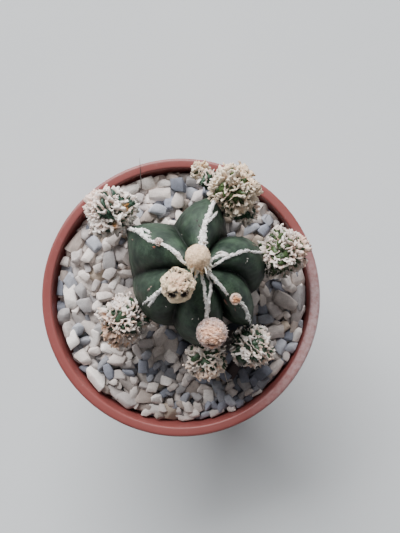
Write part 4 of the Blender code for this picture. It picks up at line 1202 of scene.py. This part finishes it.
def grow_tufts(number, lobe, draw):
    """Loose tufts on the ridges."""
    count = int(10 * lobe.radius**2)
    way = spread(count, draw, 0.2)
    way = way[(ridge(lobe, way) < draw.uniform(0.4, 1.15, count)) & (way[:, 2] > -0.5)]
    count = len(way)
    lean = unit(tangent(way, draw) + way * draw.uniform(0.1, 0.9, (count, 1)))
    surface = np.maximum(wool(lobe, way), flesh(lobe, way))
    root = np.array(lobe.middle) + way * (lobe.radius + surface - 0.25)[:, None]
    bend = np.column_stack([draw.normal(0, 0.3, count), draw.normal(0, 0.25, count)])
    rings = tufts(root, lean, np.cross(way, lean), draw.uniform(0.6, 1.25, count),
                  draw.uniform(0.24, 0.46, count), 0.85, bend, "spindle", 5, 6, 0.28, lobe.seed)
    aged = np.clip(near(way, lobe.old, 1.0) + draw.normal(0, 0.3, count), 0, 1)[:, None]
    tint = between(lobe.young_wool, lobe.old_wool, aged) * draw.uniform(0.88, 1.15, (count, 1))
    made = skin(f"{lobe.node}_tufts_{number}", rings * MM, fleece, stained_and_shaded(lobe, tint, way)[:, None, None])
    dress(made, "wool_white", lobe.node)


# %% Heads
LARGE, FINE_ROWS, COARSE_ROWS = 5, 100, 64
for number, lobe in enumerate(LOBES):
    draw = np.random.default_rng(lobe.seed)
    rows = FINE_ROWS if lobe.radius > LARGE else COARSE_ROWS
    grow_flesh(number, lobe, rows)
    grow_tubercles(number, lobe, draw)
    grow_wool(number, lobe, rows)
    grow_tufts(number, lobe, draw)

# %% [markdown]
# ## Small things
#
# A dry dark hair leans over the rim in the north, and two pale fibres lie on the stones in the south. A few
# specks of wool have dropped on the stem. Where an insect or a stone hurt the stem, a thin corky scab has
# healed the place.

# %% Dry hairs
hair_root = np.array([(-12.0, 33.2, 64.2), (12.9, -21.0, 65.6), (9.0, -24.0, 64.6)])
hair_way = np.array([(-0.7, 9.1, 1.7), (1.2, -6.2, -0.9), (5.0, -1.0, 0.2)])
hair_bend = np.array([(0.03, 0.0), (-0.08, 0.0), (0.15, 0.0)])
rings = tufts(hair_root, hair_way, np.cross(hair_way, [0, 0, 1]), np.array([9.3, 6.4, 4.6]),
              np.array([0.16, 0.13, 0.10]), 0.8, hair_bend, "hair", 16, 6, 0.1, 81)
tint = np.array([linear("#3A2A26"), linear("#CFC3B2"), linear("#A89478")])
dress(skin("dry_hairs", rings * MM, fleece, tint[:, None, None]), "soil")

# %% Specks of wool on the stem
specks = np.array([(9.3, 3.4), (12.2, -3.4), (3.0, -6.4), (4.0, -3.9), (-3.0, -1.2), (5.4, -4.3), (11.5, 3.8),
                   (17.9, 11.6), (18.2, 11.1), (18.0, 10.6), (17.6, 10.3), (15.9, -0.9), (1.0, 18.0)])
place, normal = on_stem(specks)
way = tangent(normal, draw)
rings = tufts(place + normal * 0.05, way, np.cross(normal, way), draw.uniform(0.3, 0.8, len(specks)),
              draw.uniform(0.05, 0.11, len(specks)), 0.6, (0.1, 0.0), "spindle", 5, 5, 0.2, 82)
dress(skin("crest_wool_specks", rings * MM, fleece, linear("#E4DED6")), "wool_white", "crest_wool")

# %% Scabs
# Both ends (x, y), half width, colour
SCABS = [
    ((4.8, 21.8), (5.3, 20.6), 0.20, "#1C1612"), ((5.2, 20.9), (5.7, 19.6), 0.22, "#241C16"),
    ((-6.5, 14.6), (-5.5, 14.4), 0.24, "#84482C"), ((-6.7, 14.2), (-5.4, 14.0), 0.14, "#261812"),
    ((-8.1, 3.2), (-6.7, 4.3), 0.18, "#94776A"), ((-8.0, 2.9), (-6.9, 3.7), 0.12, "#3A261E"),
    ((19.9, 15.6), (21.6, 15.0), 0.20, "#6A5440"), ((12.0, 1.1), (12.9, -0.5), 0.36, "#84402C"),
    ((12.7, 0.4), (13.3, -1.0), 0.24, "#3A1C14"), ((14.8, -1.1), (15.1, -2.2), 0.14, "#6A3826"),
    ((11.4, 10.4), (12.0, 10.0), 0.15, "#8C6B50"), ((-13.0, 17.1), (-12.3, 16.5), 0.17, "#6B4A35"),
    ((10.6, -6.2), (11.2, -6.8), 0.15, "#7A6A58"), ((-1.0, 0.4), (-0.2, 0.1), 0.12, "#6E5A48"),
]
starts, ends, widths, codes = zip(*SCABS)
root, normal = on_stem(np.array(starts))
way = on_stem(np.array(ends))[0] - root
rings = tufts(root, way, np.cross(normal, way), np.linalg.norm(way, axis=1), np.array(widths), 0.45,
              (0.05, 0.0), "spindle", 9, 8, 0.3, 83)
tint = np.array([linear(code) for code in codes])
dress(skin("stem_scabs", rings * MM, felt, tint[:, None, None]), "stem_green", "stem")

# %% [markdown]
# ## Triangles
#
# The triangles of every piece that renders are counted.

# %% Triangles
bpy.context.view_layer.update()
total = 0
for made in bpy.data.objects:
    if made.type == "MESH" and not made.hide_render:
        made.data.calc_loop_triangles()
        total += len(made.data.loop_triangles)
print(total, "triangles in all")
